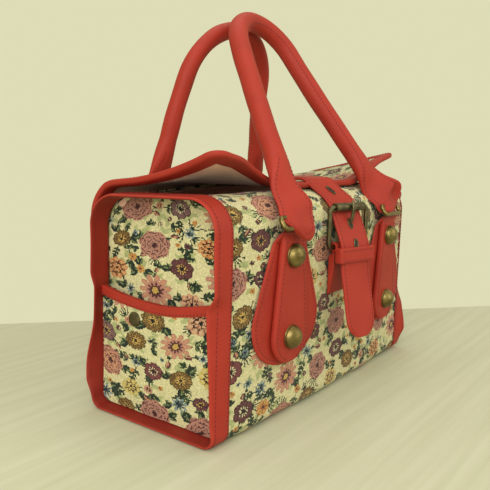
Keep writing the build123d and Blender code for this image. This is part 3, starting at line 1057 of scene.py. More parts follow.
def resample(points: Iterable[tuple[float, float, float]], pitch: float) -> Grid:
    """Points at an even pitch along a guide line.

    Args:
        points: Points of the guide line.
        pitch: Distance between points.

    Returns:
        The points, one row each.
    """
    guide = np.array(list(points), dtype=float)
    steps = np.linalg.norm(np.diff(guide, axis=0), axis=1)
    run = np.concatenate([[0.0], np.cumsum(steps)])
    at = np.linspace(0, run[-1], max(2, int(run[-1] / pitch)))
    return np.stack([np.interp(at, run, guide[:, axis]) for axis in range(3)], 1)


def eased(share: Grid | float) -> Grid:
    """A share from zero to one, with soft ends."""
    held = np.clip(share, 0, 1)
    return held**2 * (3 - 2 * held)


def bent_line(corners: tuple, radii: tuple, pitch: float) -> Grid:
    """Points along a line with rounded corners.

    Args:
        corners: Ends and corners of the line.
        radii: Radius of each corner between the ends.
        pitch: Largest distance between points.

    Returns:
        The points, one row each.
    """
    marks = [np.array(corners[0], dtype=float)]
    for before, corner, after, radius in zip(corners, corners[1:], corners[2:], radii):
        before, corner, after = (np.array(p, dtype=float) for p in (before, corner, after))
        first, second = corner - before, after - corner
        first, second = first / np.linalg.norm(first), second / np.linalg.norm(second)
        turn = math.acos(float(np.clip(first @ second, -1, 1)))
        cut = radius * math.tan(turn / 2)
        left = np.array((-first[1], first[0]))
        left *= np.sign(left @ second)
        for angle in np.linspace(0, turn, 9):
            marks.append(corner - cut * first + radius * (math.sin(angle) * first + (1 - math.cos(angle)) * left))
    marks.append(np.array(corners[-1], dtype=float))
    flat = np.array(marks)
    return resample(np.column_stack([flat, 0 * flat[:, 0]]), pitch)[:, :2]


def headings(line: Grid) -> tuple[Grid, Grid]:
    """The direction of a flat line at each point, and the direction to its left."""
    step = np.gradient(line, axis=0)
    step /= np.linalg.norm(step, axis=1)[:, None]
    return step, np.stack([-step[:, 1], step[:, 0]], 1)


def flat_strip(name: str, line: Grid, half: Grid, thick: Grid | float, place: Seat, uneven: float) -> Piece:
    """A leather strip with rounded edges that follows a bent line.

    Args:
        name: Name of the piece.
        line: The strip's middle line, as distance out and height.
        half: Half the strip's width at each point.
        thick: Its thickness, one for all or one for each point.
        place: Gives points from distance across, distance out and height.
        uneven: Height of the slow waves in it.

    Returns:
        The piece.
    """
    _, left = headings(line)
    face = [(-0.93, 0.92), (-0.6, 1.0), (-0.2, 1.0), (0.2, 1.0), (0.6, 1.0), (0.93, 0.92)]
    edge = [(0.985, 0.62), (1.0, 0.0), (0.985, -0.62)]
    section = [*face, *edge, *((-s, -lift) for s, lift in face), *((-s, -lift) for s, lift in edge)]
    rows = []
    for share, lift in section:
        wave = uneven * ripple(line[:, 1] + line[:, 0], share * half, 45.0, 15)
        away = line + left * (lift * thick / 2 + wave)[:, None]
        rows.append(place(share * half, away[:, 0], away[:, 1]))
    piece = rounded(strip_mesh(name, np.stack(rows, 1), closed=False))
    no_wear_or_shade(piece)
    return piece


def turned_caps(name: str, radius: float, dome: float, seats: list[Seat]) -> Piece:
    """Turned metal caps, each a dome over a rolled rim.

    Args:
        name: Name of the piece.
        radius: Radius of the rim.
        dome: Height of the dome over the rim.
        seats: For each cap, gives points from two flat distances and the height over its seat.

    Returns:
        All caps as one piece.
    """
    ball = (radius**2 + dome**2) / (2 * dome)
    reach = math.acos(1 - dome / ball) if dome < radius else math.pi / 2
    profile = [(radius - 0.2, 0.0), (radius, 0.35), (radius, 0.8), (radius - 0.35, 1.15)]
    for angle in np.linspace(0.96 * reach, 0.02, 14):
        profile.append((ball * math.sin(angle), 1.2 + dome - ball + ball * math.cos(angle)))
    out, high = np.array(profile).T
    turn = np.linspace(0, 2 * math.pi, 40, endpoint=False)[:, None]
    made = []
    for k, seat in enumerate(seats):
        x, y, lift = out * np.cos(turn), out * np.sin(turn), high + 0 * turn
        rows = np.stack([seat(x[:, j], y[:, j], lift[:, j]) for j in range(len(profile))])
        made.append(strip_mesh(f"{name}_{k}", rows, closed=False))
    return joined(made, name)


@dataclass(frozen=True)
class Seam:
    """A row of stitches sewn on a piece along guide lines."""

    pitch: float = 3.6
    length: float = 2.7
    width: float = 1.0
    height: float = 0.4

    def stitch(self) -> tuple[Grid, list[tuple[int, ...]]]:
        """One stitch, modelled once: a low bead along its own X axis.

        Returns:
            Its points and faces.
        """
        deselect()
        bpy.ops.mesh.primitive_uv_sphere_add(segments=6, ring_count=5, radius=0.5)
        bead = bpy.context.object
        points = points_of(bead.data)[:, [2, 0, 1]] * (self.length, self.width, self.height * 2)
        faces = [tuple(face.vertices) for face in bead.data.polygons]
        bpy.data.meshes.remove(bead.data)
        return points, faces

    def sew(
        self, look: Materials, carrier: Piece, name: str, guides: list[Grid], body: Body = Body.BAG
    ) -> Piece:
        """Sew stitches on a carrier.

        Args:
            look: The finishes.
            carrier: The piece that is sewn.
            name: Name of the row of stitches.
            guides: Guide lines in millimetres near the carrier's surface.
            body: The moving body that carries the piece.

        Returns:
            The stitches as one piece.
        """
        bead, bead_faces = self.stitch()
        tree = BVHTree.FromObject(carrier, bpy.context.evaluated_depsgraph_get())
        points, faces = [], []
        for guide in guides:
            spots = resample(guide, self.pitch)
            hits = [tree.find_nearest(Vector(spot * MM)) for spot in spots]
            feet = np.array([hit[0] for hit in hits]) / MM
            ups = np.array([hit[1] for hit in hits])
            runs = np.gradient(feet, axis=0)
            for foot, up, run in zip(feet, ups, runs):
                run = run - up * run.dot(up)
                size = np.linalg.norm(run)
                if size < 0.2 * self.pitch:
                    continue
                run /= size
                axes = np.stack([run, np.cross(up, run), up])
                start = len(points) * len(bead)
                points.append(foot + bead @ axes)
                faces.extend(tuple(start + k for k in face) for face in bead_faces)
        return dress(new_piece(name, np.concatenate(points), faces), look.thread, Slot.LEATHER, body)


# The bag


@dataclass
class Materials:
    """All finishes of the bag, made once."""

    leather: Finish
    tapestry: Finish
    lining: Finish
    brass: Finish
    gunmetal: Finish
    thread: Finish
    shadow: Finish
    card: Finish

    @classmethod
    def mix(cls) -> Materials:
        """Make every finish.

        Returns:
            The finishes.
        """
        red, shade, worn = linear(169, 49, 33), linear(150, 40, 27), linear(186, 64, 45)
        return cls(
            leather=LeatherFinish("coral_leather", red, shade, worn).material(),
            tapestry=TapestryFinish("flower_tapestry").material(),
            lining=SatinFinish("satin_lining", linear(236, 190, 168), linear(218, 168, 146)).material(),
            brass=BrassFinish("antique_brass", linear(152, 135, 84), linear(70, 58, 34), 0.58).material(),
            gunmetal=BrassFinish("dark_brass", linear(122, 112, 82), linear(54, 50, 40), 0.6).material(),
            thread=ThreadFinish("red_thread", linear(104, 20, 18)).material(),
            # A dark finish that paints the shade inside the strap's holes.
            shadow=ThreadFinish("hole_inside", linear(34, 18, 16)).material(),
            card=CardFinish("grey_board", linear(172, 156, 132)).material(),
        )


@dataclass
class Shape:
    """Main sizes of the bag in millimetres, as the solids have them."""

    half_length: float = 160.0
    half_depth: float = 71.5
    height: float = 198.0
    bulge: float = 4.0
    bottom_radius: float = 12.0
    top_radius: float = 30.0
    base_lip: float = 24.0
    top_facing: float = 32.0
    flange: float = 20.0

    @property
    def bow(self) -> float:
        """Radius of the front and back in plan."""
        return (self.half_length**2 + self.bulge**2) / (2 * self.bulge)

    @property
    def runs(self) -> tuple[float, ...]:
        """Lengths of the straights and bends of the section, from the middle of the base."""
        foot, head = self.bottom_radius, self.top_radius
        half = (self.half_depth - foot, foot * math.pi / 2, self.height - foot - head, head * math.pi / 2)
        return (*half, 2 * (self.half_depth - head), *reversed(half))

    def face(self, x: Grid | float) -> Grid:
        """Distance from the middle plane to the front or back at x."""
        reach = np.minimum(np.abs(x), self.half_length)
        return self.half_depth + self.bulge - self.bow + np.sqrt(self.bow**2 - reach**2)

    def outline(self, share: Grid, inset: float | Grid = 0.0) -> tuple[Grid, Grid, Grid, Grid]:
        """The rounded section of the body.

        Args:
            share: Share of the way round, from the middle of the base.
            inset: Distance inside the outer face.

        Returns:
            Depth, height, and the outward direction's depth and height.
        """
        foot, head = self.bottom_radius, self.top_radius
        side, top = self.half_depth, self.height
        ends = np.concatenate([[0.0], np.cumsum(self.runs)])
        run = np.mod(share, 1.0) * ends[-1]
        corners = [
            (0, 0, 0.0), (side - foot, foot, foot), (side, foot, 0.0), (side - head, top - head, head),
            (side - head, top, 0.0), (head - side, top - head, head), (-side, top - head, 0.0),
            (foot - side, foot, foot), (foot - side, 0, 0.0),
        ]
        depth, height = np.zeros_like(run), np.zeros_like(run)
        out_y, out_z = np.zeros_like(run), np.zeros_like(run)
        heading = -math.pi / 2
        for k, (y, z, radius) in enumerate(corners):
            on = (run >= ends[k]) & (run <= ends[k + 1])
            past = run[on] - ends[k]
            angle = heading + (past / radius if radius else 0.0 * past)
            out_y[on], out_z[on] = np.cos(angle), np.sin(angle)
            if radius:
                depth[on], height[on] = y + radius * np.cos(angle), z + radius * np.sin(angle)
                heading += math.pi / 2
            else:
                depth[on] = y - past * math.sin(heading)
                height[on] = z + past * math.cos(heading)
        return depth - inset * out_y, height - inset * out_z, out_y, out_z

    def pocket_dip(self, y: Grid) -> Grid:
        """How far a pocket's worn edge lies over its cut edge at a depth."""
        share = y / self.half_depth
        return 4.0 * eased(-share) - 4.5 * (1 - share**2)


@dataclass(frozen=True)
class Panel:
    """One cut of tapestry that is sewn tight into the bag."""

    name: str
    node: str
    size: tuple[float, float]
    seed: int
    turned: bool
    stitch: float = 1.0
    thick: float = 1.6
    rim_only: bool = True
    loose: bool = True

    def weave(self, look: Materials, place: Place) -> None:
        """Weave the panel over its place.

        Args:
            look: The finishes.
            place: Gives points in millimetres from shares across and along.
        """
        wide, long = self.size
        piece, u, v = sheet_grid(self.name, (int(wide / self.stitch), int(long / self.stitch)), place)
        if self.turned:
            edit_all(piece, bpy.ops.mesh.flip_normals)
        stitch_colours(piece, Garden((0, 0), self.size, self.seed).paint(u * wide, v * long))
        apply_modifier(piece, "SOLIDIFY", thickness=self.thick * MM, offset=-1.0, use_rim_only=self.rim_only)
        dress(piece, look.tapestry, Slot.TAPESTRY, Body.BAG, self.node)


@dataclass
class ClothBody:
    """The tapestry panels of the body, its ends and its pockets, and the lining inside."""

    shape: Shape
    look: Materials
    nodes: dict
    wrinkle: float = 0.5
    pucker: float = 0.55
    pocket_height: float = 112.0
    pocket_sag: float = 4.0
    pocket_out: float = 9.0
    lining_sizes: tuple[float, float, float, float] = (68.8, 195.3, 6.0, 39.5)
    lining_half_length: float = 156.4

    def _wall(self, facing: int) -> Place:
        """The place of the front or back panel, from the lip under the base to the facing at the mouth.

        Args:
            facing: Minus one for the front, one for the back.

        Returns:
            The place, from shares across and along.
        """
        shape = self.shape
        reach = shape.half_depth + shape.bulge
        middle = replace(shape, half_depth=reach)
        lip = reach - shape.base_lip

        def place(u: Grid, v: Grid) -> Grid:
            """Points of the panel."""
            x = (u - 0.5) * 2 * (shape.half_length - 0.2)
            past = v * self.wall_run
            y, z, ny, nz = middle.outline((lip + past) / sum(middle.runs))
            bowed = y - reach + shape.face(x)
            edge = shape.half_length - abs(x)
            dent = -self.wrinkle * (1 + ripple(x, past, 70.0, 11 + facing))
            dent -= self.pucker * np.exp(-edge / 9.0) * (1 + np.sin(past / 1.9))
            dent = np.where(z < 3.0, np.minimum(dent, -0.1), dent)
            return np.stack([x, facing * (bowed + dent * ny), z + dent * nz], 1)

        return place

    @property
    def wall_run(self) -> float:
        """Length of a panel from the lip under the base, over both bends, to the facing at the mouth."""
        shape = self.shape
        bends = (math.pi / 2 - 2) * (shape.bottom_radius + shape.top_radius)
        return shape.base_lip + shape.height + shape.top_facing + bends

    def walls(self) -> None:
        """Weave the front and back panels."""
        wide, long = 2 * self.shape.half_length, self.wall_run
        for name, facing, seed in (("front", -1, 3), ("back", 1, 8)):
            panel = Panel(f"{name}_tapestry", f"{name}_panel", (wide, long), seed, facing > 0)
            panel.weave(self.look, self._wall(facing))

    def base(self) -> None:
        """Weave the panel under the bag."""
        shape = self.shape
        wide, deep = 2 * shape.half_length, 2 * (shape.half_depth - shape.base_lip)

        def place(u: Grid, v: Grid) -> Grid:
            """Points of the base."""
            x = (u - 0.5) * wide
            lip = shape.face(x) - shape.base_lip - 0.2
            return np.stack([x, (2 * v - 1) * lip, 0.15 + 0 * x], 1)

        panel = Panel("base_tapestry", "base_panel", (wide, deep), 21, True, stitch=2.0, rim_only=False, loose=False)
        panel.weave(self.look, place)

    def _half_width(self, z: Grid, inset: float) -> Grid:
        """Half the width of the body's section at a height, a distance inside it.

        Args:
            z: Height.
            inset: Distance inside the outer edge.

        Returns:
            The half width.
        """
        shape = self.shape
        side = shape.half_depth - inset
        foot, head = shape.bottom_radius - inset, shape.top_radius - inset
        low = np.clip(foot - (z - inset), 0, foot)
        high = np.clip(z - (shape.height - inset - head), 0, head)
        width = side - foot + np.sqrt(np.maximum(foot**2 - low**2, 0))
        return np.minimum(width, side - head + np.sqrt(np.maximum(head**2 - high**2, 0)))

    def ends(self) -> None:
        """Weave the two end panels and their pockets."""
        shape = self.shape
        inset = 2.2
        tall, wide = shape.height - 2 * inset, 2 * (shape.half_depth - inset)
        for name, side, seed in (("left", -1, 31), ("right", 1, 47)):

            def wall(u: Grid, v: Grid) -> Grid:
                """Points of the end."""
                z = inset + v * tall
                y = (2 * u - 1) * self._half_width(z, inset)
                puff = 1.8 * np.cos((u - 0.5) * math.pi) * np.sin(v * math.pi)
                puff -= 0.8 * (1 + ripple(y, z, 60.0, seed))
                return np.stack([side * (shape.half_length - 0.8 + puff), y, z], 1)

            panel = Panel(f"{name}_end_tapestry", f"{name}_end_panel", (wide, tall), seed, side < 0, thick=1.2)
            panel.weave(self.look, wall)
            self._pocket(name, side, seed + 5)

    def _pocket(self, name: str, side: int, seed: int) -> None:
        """Weave one slip pocket.

        Args:
            name: Left or right.
            side: Minus one for the left end, one for the right.
            seed: Makes the scatter the same in each run.
        """
        shape = self.shape
        inset = 5.2
        wide, tall = 2 * (shape.half_depth - inset), self.pocket_height - inset - 1.4

        def place(u: Grid, v: Grid) -> Grid:
            """Points of the pocket."""
            sag = self.pocket_sag * (1 - (2 * u - 1) ** 2)
            z = inset + v * (tall - sag + shape.pocket_dip((2 * u - 1) * shape.half_depth))
            y = (2 * u - 1) * self._half_width(z, inset)
            puff = 1.2 * np.cos((u - 0.5) * math.pi) * v - 0.5 * (1 + ripple(y, z, 50.0, seed))
            return np.stack([side * (shape.half_length + self.pocket_out + puff), y, z], 1)

        panel = Panel(f"{name}_pocket_tapestry", f"{name}_pocket", (wide, tall), seed, side < 0, rim_only=False)
        panel.weave(self.look, place)

    def lining(self) -> None:
        """Line the body and its ends with creased satin."""
        wall, head, foot, mouth = self.lining_sizes
        half = [(-mouth, head), (-wall, head), (-wall, foot)]
        corners = (*half, *((-y, z) for y, z in reversed(half)))
        line = bent_line(corners, (27.0, 11.0, 11.0, 27.0), 2.0)
        _, left = headings(line)
        share = np.linspace(0, 1, len(line))
        wide, long = 2 * self.lining_half_length, 2.0 * len(line)

        def place(u: Grid, v: Grid) -> Grid:
            """Points of the lining."""
            x = (2 * u - 1) * self.lining_half_length
            sink = 0.25 * (1 + ripple(x, v * long, 45.0, 5))
            y, z = (np.interp(v, share, line[:, k]) + sink * np.interp(v, share, left[:, k]) for k in (0, 1))
            return np.stack([x, y, z], 1)

        piece, _, _ = sheet_grid("body_lining_satin", (110, 190), place)
        apply_modifier(piece, "SOLIDIFY", thickness=0.8 * MM, offset=0.0)
        dress(piece, self.look.lining, Slot.LINING, Body.BAG, "body_lining")
        for name in ("left_end_lining", "right_end_lining"):
            piece = softened(self.nodes[name], f"{name}_satin", 0.9, 2)
            points = points_of(piece.data)
            crease = ripple(points[:, 0] / MM, points[:, 2] / MM, 45.0, 5)
            crease += ripple(points[:, 1] / MM, points[:, 2] / MM, 38.0, 6)
            set_points(piece.data, points + normals_of(piece.data) * 0.04 * MM * crease[:, None])
            dress(piece, self.look.lining, Slot.LINING, Body.BAG, name)
        self.nodes["base_board"].data.materials.clear()
        self.nodes["base_board"].data.materials.append(self.look.card)


@dataclass
class EndBinding:
    """The leather strip that stands out round each end, and the band on each pocket."""

    shape: Shape
    look: Materials
    nodes: dict
    thick: float = 5.0
    rows: int = 420
    wave: float = 0.9
    pinch: float = 8.5
    pinch_height: float = 124.0
    pinch_run: float = 16.0
    flare: float = 8.0
    flare_height: float = 84.0
    flare_run: float = 50.0
    foot_start: float = 8.0
    foot_run: float = 18.0
    kick: float = 6.8
    kick_height: float = 66.0
    kick_run: float = 45.0
    fold: float = 13.0
    fold_height: float = 52.0
    fold_run: float = 40.0
    pocket_top: float = 112.0
    snap_place: tuple[float, float] = (25.0, 87.0)
    snap_radius: float = 6.6
    snap_dome: float = 1.4
    snap_out: float = 9.4
    band_rim: float = 113.0
    band_seam: float = 105.6
    band_sag: float = 4.0
    band_narrowing: float = 0.16
    band_out: float = 14.0
    band_half: float = 64.0

    def _lean(self, z: Grid, y: Grid, side: int) -> Grid:
        """How far the free edge leans inwards, or flares out, at each place round the strip.

        Args:
            z: Height.
            y: Depth.
            side: Minus one for the left end, one for the right.

        Returns:
            The lean, inwards where it is positive.
        """
        upright = eased(abs(y) / self.shape.half_depth * 8 - 7)
        near, far = (y < 0) & (side < 0), (y < 0) & (side > 0)
        pull = self.pinch * eased((self.pinch_height - z) / self.pinch_run)
        pull = pull * np.clip(z / self.pocket_top, 0, 1) ** 1.3
        foot = eased((z - self.foot_start) / self.foot_run)
        spread = self.flare * eased((self.flare_height - z) / self.flare_run) * foot
        kick = self.kick * eased((self.kick_height - z) / self.kick_run) * foot
        fold = self.fold * eased((z - self.fold_height) / self.fold_run) - kick
        lean = np.where(near, pull, np.where(far, fold, 0.6 * pull - spread)) * upright
        sway = self.wave * (1 + ripple(z, y, 85.0, 60 + side))
        return lean + sway * np.clip(z / 20.0, 0, 1)

    def build(self) -> None:
        """Make and sew both strips."""
        shape, flange = self.shape, self.shape.flange
        section = np.array([
            (0.0, 0.5), (0.6, 0.12), (2.5, 0.0), (6.0, 0.0), (10.0, 0.05), (14.0, 0.1), (17.6, 0.2), (19.3, 0.5),
            (19.9, 1.1), (19.9, 1.8), (19.3, 2.5), (17.6, 2.9), (14.0, 3.3), (10.0, 3.8), (5.0, 4.6), (0.3, 5.0),
        ])
        for name, side in (("left", -1), ("right", 1)):
            share = np.arange(self.rows) / self.rows
            rows = []
            y0, z0, _, _ = shape.outline(share)
            lean = self._lean(z0, y0, side)
            for out, inset in section:
                y, z, _, _ = shape.outline(share, inset + lean * (out / flange) ** 1.5)
                rows.append(np.stack([np.full_like(y, side * (shape.half_length + out)), y, z], 1))
            piece = rounded(strip_mesh(f"{name}_end_binding_leather", np.stack(rows, 1), closed=True))
            self._edge_wear(piece)
            dress(piece, self.look.leather, Slot.LEATHER, Body.BAG, f"{name}_end_binding")
            guides = []
            walk = np.linspace(0.002, 0.998, 700)
            for out, inset in ((2.6, -3.0), (16.6, -3.0)):
                y, z, _, _ = shape.outline(walk, inset)
                guides.append(np.stack([np.full_like(y, side * (shape.half_length + out)), y, z], 1))
            Seam().sew(self.look, piece, f"{name}_end_binding_stitches", guides)

    def _edge_wear(self, piece: Piece) -> None:
        """Wear the free edge of a strip, paint shade along its foot where it meets the cloth, and leave its inner side
        dark.

        Args:
            piece: The piece.
        """
        points, normals = points_of(piece.data) / MM, normals_of(piece.data)
        out = abs(points[:, 0]) - self.shape.half_length
        middle = self.shape.height / 2
        inward = -(points[:, 1] * normals[:, 1] / self.shape.half_depth + (points[:, 2] / middle - 1) * normals[:, 2])
        # From 17 mm out the edge is worn lighter; within 1.6 mm of the cloth it gets painted crease shade.
        worn = 0.3 * np.clip((out - 17.0) / 3.0, 0, 1) - 0.8 * np.clip((1.6 - out) / 1.6, 0, 1)
        keep_attribute(piece.data, "wear", "FLOAT", np.where(inward > 0.4, -0.26, worn))

    def pocket_bands(self) -> None:
        """Fold the leather bands over the pockets' edges."""
        for name, side in (("left", -1), ("right", 1)):
            piece = softened(self.nodes[f"{name}_pocket_band"], f"{name}_pocket_band_leather", 0.6, 5)
            points = points_of(piece.data)
            depth = points[:, 1] / MM
            rim = self.band_rim - self._band_dip(depth)
            rise = self.shape.pocket_dip(depth) + self.band_narrowing * (rim - points[:, 2] / MM)
            points[:, 2] += rise * MM
            set_points(piece.data, points)
            dress(piece, self.look.leather, Slot.LEATHER, Body.BAG, f"{name}_pocket_band")
            y = np.linspace(-self.band_half, self.band_half, 60)
            z = self.band_seam - self._band_dip(y) + self.shape.pocket_dip(y)
            guide = np.stack([np.full_like(y, side * (self.shape.half_length + self.band_out)), y, z], 1)
            Seam().sew(self.look, piece, f"{name}_pocket_band_stitches", [guide])
            self._snap(name, side)

    def _band_dip(self, y: Grid) -> Grid:
        """How far a pocket's cut edge lies under its corners at a depth."""
        return self.band_sag * (1 - (y / self.shape.half_depth) ** 2)

    def _snap(self, name: str, side: int) -> None:
        """Press a flat snap cap on a pocket.

        Args:
            name: Left or right.
            side: Minus one for the left end, one for the right.
        """

        def seat(x: Grid, y: Grid, out: Grid) -> Grid:
            """Points of the cap."""
            across, height = self.snap_place
            along = side * (self.shape.half_length + self.snap_out + out)
            return np.stack([along, x - side * across, height + y], -1)

        piece = turned_caps(f"{name}_pocket_snap", self.snap_radius, self.snap_dome, [seat])
        dress(piece, self.look.gunmetal, Slot.BRASS, Body.BAG)


@dataclass
class Flap:
    """The flap with its curled front corners, its satin lining and its folded leather edge."""

    shape: Shape
    look: Materials
    half: float = 173.0
    front: float = 54.0
    lap: float = 167.0
    knee: float = 200.7
    knee_radius: float = 32.7
    lift: float = 31.0
    lip: float = 5.0
    lip_run: float = 22.0
    over: float = 10.0
    curl_start: float = 58.0
    curl_run: float = 105.0
    corner: float = 13.0
    stand_off: float = 2.7
    binding: float = 13.0
    slack: tuple[float, float, float] = (11.0, 2.0, 6.0)
    slack_back: float = 60.0
    slack_start: float = 95.0
    slack_run: float = 60.0

    def _section(self, x: Grid) -> tuple[Grid, ...]:
        """Slope of the top, turn and length of the bend, and length of the run up the back, at x.

        Args:
            x: Place along the bag.

        Returns:
            Depth of the back, slope, turn, cut and length in order.
        """
        back = self.shape.face(x) + self.stand_off
        rise = self.lift * eased((abs(x) - self.curl_start) / self.curl_run)
        rise = rise + self.lip * np.clip((abs(x) - self.half + self.lip_run) / self.lip_run, 0, 1) ** 2
        slope = np.arctan2(rise, back + self.front + self.over)
        turn = math.pi / 2 - slope
        cut = self.knee_radius * np.tan(turn / 2)
        return back, slope, turn, cut, self.knee - cut - self.lap

    def at(self, x: Grid, run: Grid, lift: Grid | float) -> Grid:
        """Points over the flap.

        Args:
            x: Place along the bag.
            run: Distance from the hem on the back, over the bend, towards the front.
            lift: Height over the flap's under face.

        Returns:
            The points in millimetres.
        """
        back, slope, turn, cut, up = self._section(x)
        radius = self.knee_radius
        bend = np.clip((run - up) / radius, 0, turn)
        ny, nz = np.cos(bend), np.sin(bend)
        y = back - radius + radius * ny
        z = self.knee - cut + radius * nz + np.minimum(run - up, 0)
        past = np.maximum(run - up - radius * turn, 0)
        y, z = y - past * np.cos(slope), z + past * np.sin(slope)
        return np.stack([x, y + lift * ny, z + lift * nz], 1)

    def reach(self, x: Grid, y: Grid) -> Grid:
        """Distance from the hem at which the flap's top is over a depth y."""
        back, slope, turn, _, up = self._section(x)
        start = back - self.knee_radius + self.knee_radius * np.cos(turn)
        return up + self.knee_radius * turn + np.maximum(start - y, 0) / np.cos(slope)

    def edge_depth(self, x: Grid, inset: float) -> Grid:
        """Depth of the front edge at x, with its rounded corners, a distance inside it."""
        past = np.clip(abs(x) - (self.half - self.corner), 0, self.corner - inset)
        round_off = self.corner - np.sqrt(np.maximum((self.corner - inset) ** 2 - past**2, 0)) - inset
        return -(self.front - inset) + round_off

    def build(self) -> None:
        """Make the cloth, its lining and the folded edge."""
        wide = 2 * (self.half - 1)

        def layer(lift: float, seed: int, crease: float) -> Place:
            """The place of one layer."""

            def place(u: Grid, v: Grid) -> Grid:
                """Points of the layer."""
                x = (2 * u - 1) * (self.half - 1)
                run = v * self.reach(x, self.edge_depth(x, 1.0))
                return self.at(x, run, lift + crease * ripple(x, run, 55.0, seed))

            return place

        long = float(self.reach(np.zeros(1), np.full(1, -self.front))[0])
        piece, u, v = sheet_grid("flap_tapestry", (int(wide), int(long)), layer(1.7, 71, 0.2))
        x = (2 * u - 1) * (self.half - 1)
        run = v * self.reach(x, self.edge_depth(x, 1.0))
        stitch_colours(piece, Garden((0, 0), (wide, 1.2 * long), 77).paint(u * wide, run))
        edit_all(piece, bpy.ops.mesh.flip_normals)
        dress(piece, self.look.tapestry, Slot.TAPESTRY, Body.BAG, "flap")
        satin, _, _ = sheet_grid("flap_satin", (150, 80), layer(-0.7, 72, 0.25))
        dress(satin, self.look.lining, Slot.LINING, Body.BAG, "flap_lining")
        self._slacken([piece, satin, *self._edge()])

    def _slacken(self, pieces: list[Piece]) -> None:
        """Pull the slack left corner forward and let the side edge behind it sag.

        Args:
            pieces: The flap's pieces.
        """
        reach, drop, sag = self.slack
        for piece in pieces:
            points = points_of(piece.data)
            x, y, _ = points.T / MM
            share = np.clip((self.slack_back - y) / (self.slack_back + self.front), 0, 1)
            loose = eased((-x - self.slack_start) / self.slack_run) * MM
            points[:, 1] -= reach * eased(share) * loose
            points[:, 2] -= (drop * share + sag * np.sin(math.pi * share)) * loose
            set_points(piece.data, points)

    def edge_line(self, inset: float, count: int) -> tuple[Grid, Grid]:
        """The free edge from the hem at one end round the front to the other, a distance inside it.

        Args:
            inset: Distance inside the outer edge.
            count: Number of points.

        Returns:
            Places along the bag, and distances from the hem.
        """
        side = self.half - inset
        turn = np.linspace(0, math.pi / 2, count // 5)[1:-1]
        bend = self.corner - inset
        x_corner = -(self.half - self.corner) - bend * np.cos(turn)
        y_corner = -(self.front - self.corner) - bend * np.sin(turn)
        x_side = np.full(count // 3, -side)
        side_end = self.reach(x_side[:1], np.full(1, -(self.front - self.corner)))[0]
        run_side = np.linspace(0, side_end, count // 3)
        x_half = np.linspace(-(self.half - self.corner), 0, count // 3)
        run_half = self.reach(x_half, np.full_like(x_half, -(self.front - inset)))
        x = np.concatenate([x_side, x_corner, x_half])
        run = np.concatenate([run_side, self.reach(x_corner, y_corner), run_half])
        return np.concatenate([x, -x[-2::-1]]), np.concatenate([run, run[-2::-1]])

    def _edge(self) -> tuple[Piece, Piece]:
        """Fold the leather strip round the free edge and sew it: the strip and its stitches.

        Returns:
            The strip and its stitches.
        """
        section = (
            (self.binding, 2.05), (self.binding, 3.0), (self.binding - 0.8, 3.3), (9.0, 3.4), (5.0, 3.4), (2.0, 3.3),
            (0.6, 2.9), (0.0, 2.0), (-0.1, 0.6), (0.2, -0.9), (1.0, -1.9), (2.6, -2.35), (6.0, -2.4), (10.0, -2.4),
            (self.binding - 0.8, -2.3), (self.binding, -2.0), (self.binding, -1.1),
        )
        rows = []
        for inset, lift in section:
            x, run = self.edge_line(max(inset, 0.0), 240)
            sway = 0.25 * ripple(x, run, 40.0, 73)
            rows.append(self.at(x, run, lift + sway))
        piece = rounded(strip_mesh("flap_binding_leather", np.stack(rows, 1), closed=False))
        # Painted shade: the binding's downward-facing side is darkened.
        shaded_underside = np.clip(-normals_of(piece.data)[:, 2], 0, 1)
        keep_attribute(piece.data, "wear", "FLOAT", -0.2 * shaded_underside)
        dress(piece, self.look.leather, Slot.LEATHER, Body.BAG, "flap_binding")
        guides = []
        for inset, lift in ((10.6, 6.0), (10.6, -5.0), (2.8, 6.0)):
            x, run = self.edge_line(inset, 400)
            guides.append(self.at(x, run, lift)[6:-6])
        return piece, Seam().sew(self.look, piece, "flap_binding_stitches", guides)


@dataclass(frozen=True)
class Leaf:
    """The outline of a tab's layer: a round foot, straight sides and a neck that goes up to the link."""

    radius: float
    centre: float
    top: float
    half_top: float
    path: tuple[tuple[float, float], ...]
    bends: tuple[float, ...]
    thick: float
    broad: float = 1.0
    aside: float = 0.0
    neck_half: float = 18.0
    neck_thick: float = 2.4

    def line(self) -> Grid:
        """The middle line from the link down to the foot, as distance out and height."""
        return bent_line(self.path, self.bends, 1.6)

    def half(self, height: Grid, inset: float = 0.0) -> Grid:
        """Half the leaf's width at a height, a distance inside its edge.

        Args:
            height: Height on the tab.
            inset: Distance inside the outer edge.

        Returns:
            The half width.
        """
        radius, half_top = self.radius - inset, self.half_top - inset
        away = math.hypot(half_top, self.top - self.centre)
        touch = math.acos(radius / away) + math.atan2(half_top, self.top - self.centre)
        low, wide = self.centre + radius * math.cos(touch), radius * math.sin(touch)
        side = wide + (half_top - wide) * np.clip((height - low) / (self.top - low), 0, 1)
        drop = np.clip(abs(height - self.centre), 0, radius - 0.02)
        width = self.broad * np.where(height < low, np.sqrt(radius**2 - drop**2), side)
        neck = eased((height - self.top) / 8.0)
        return width + (self.neck_half - inset - width) * neck


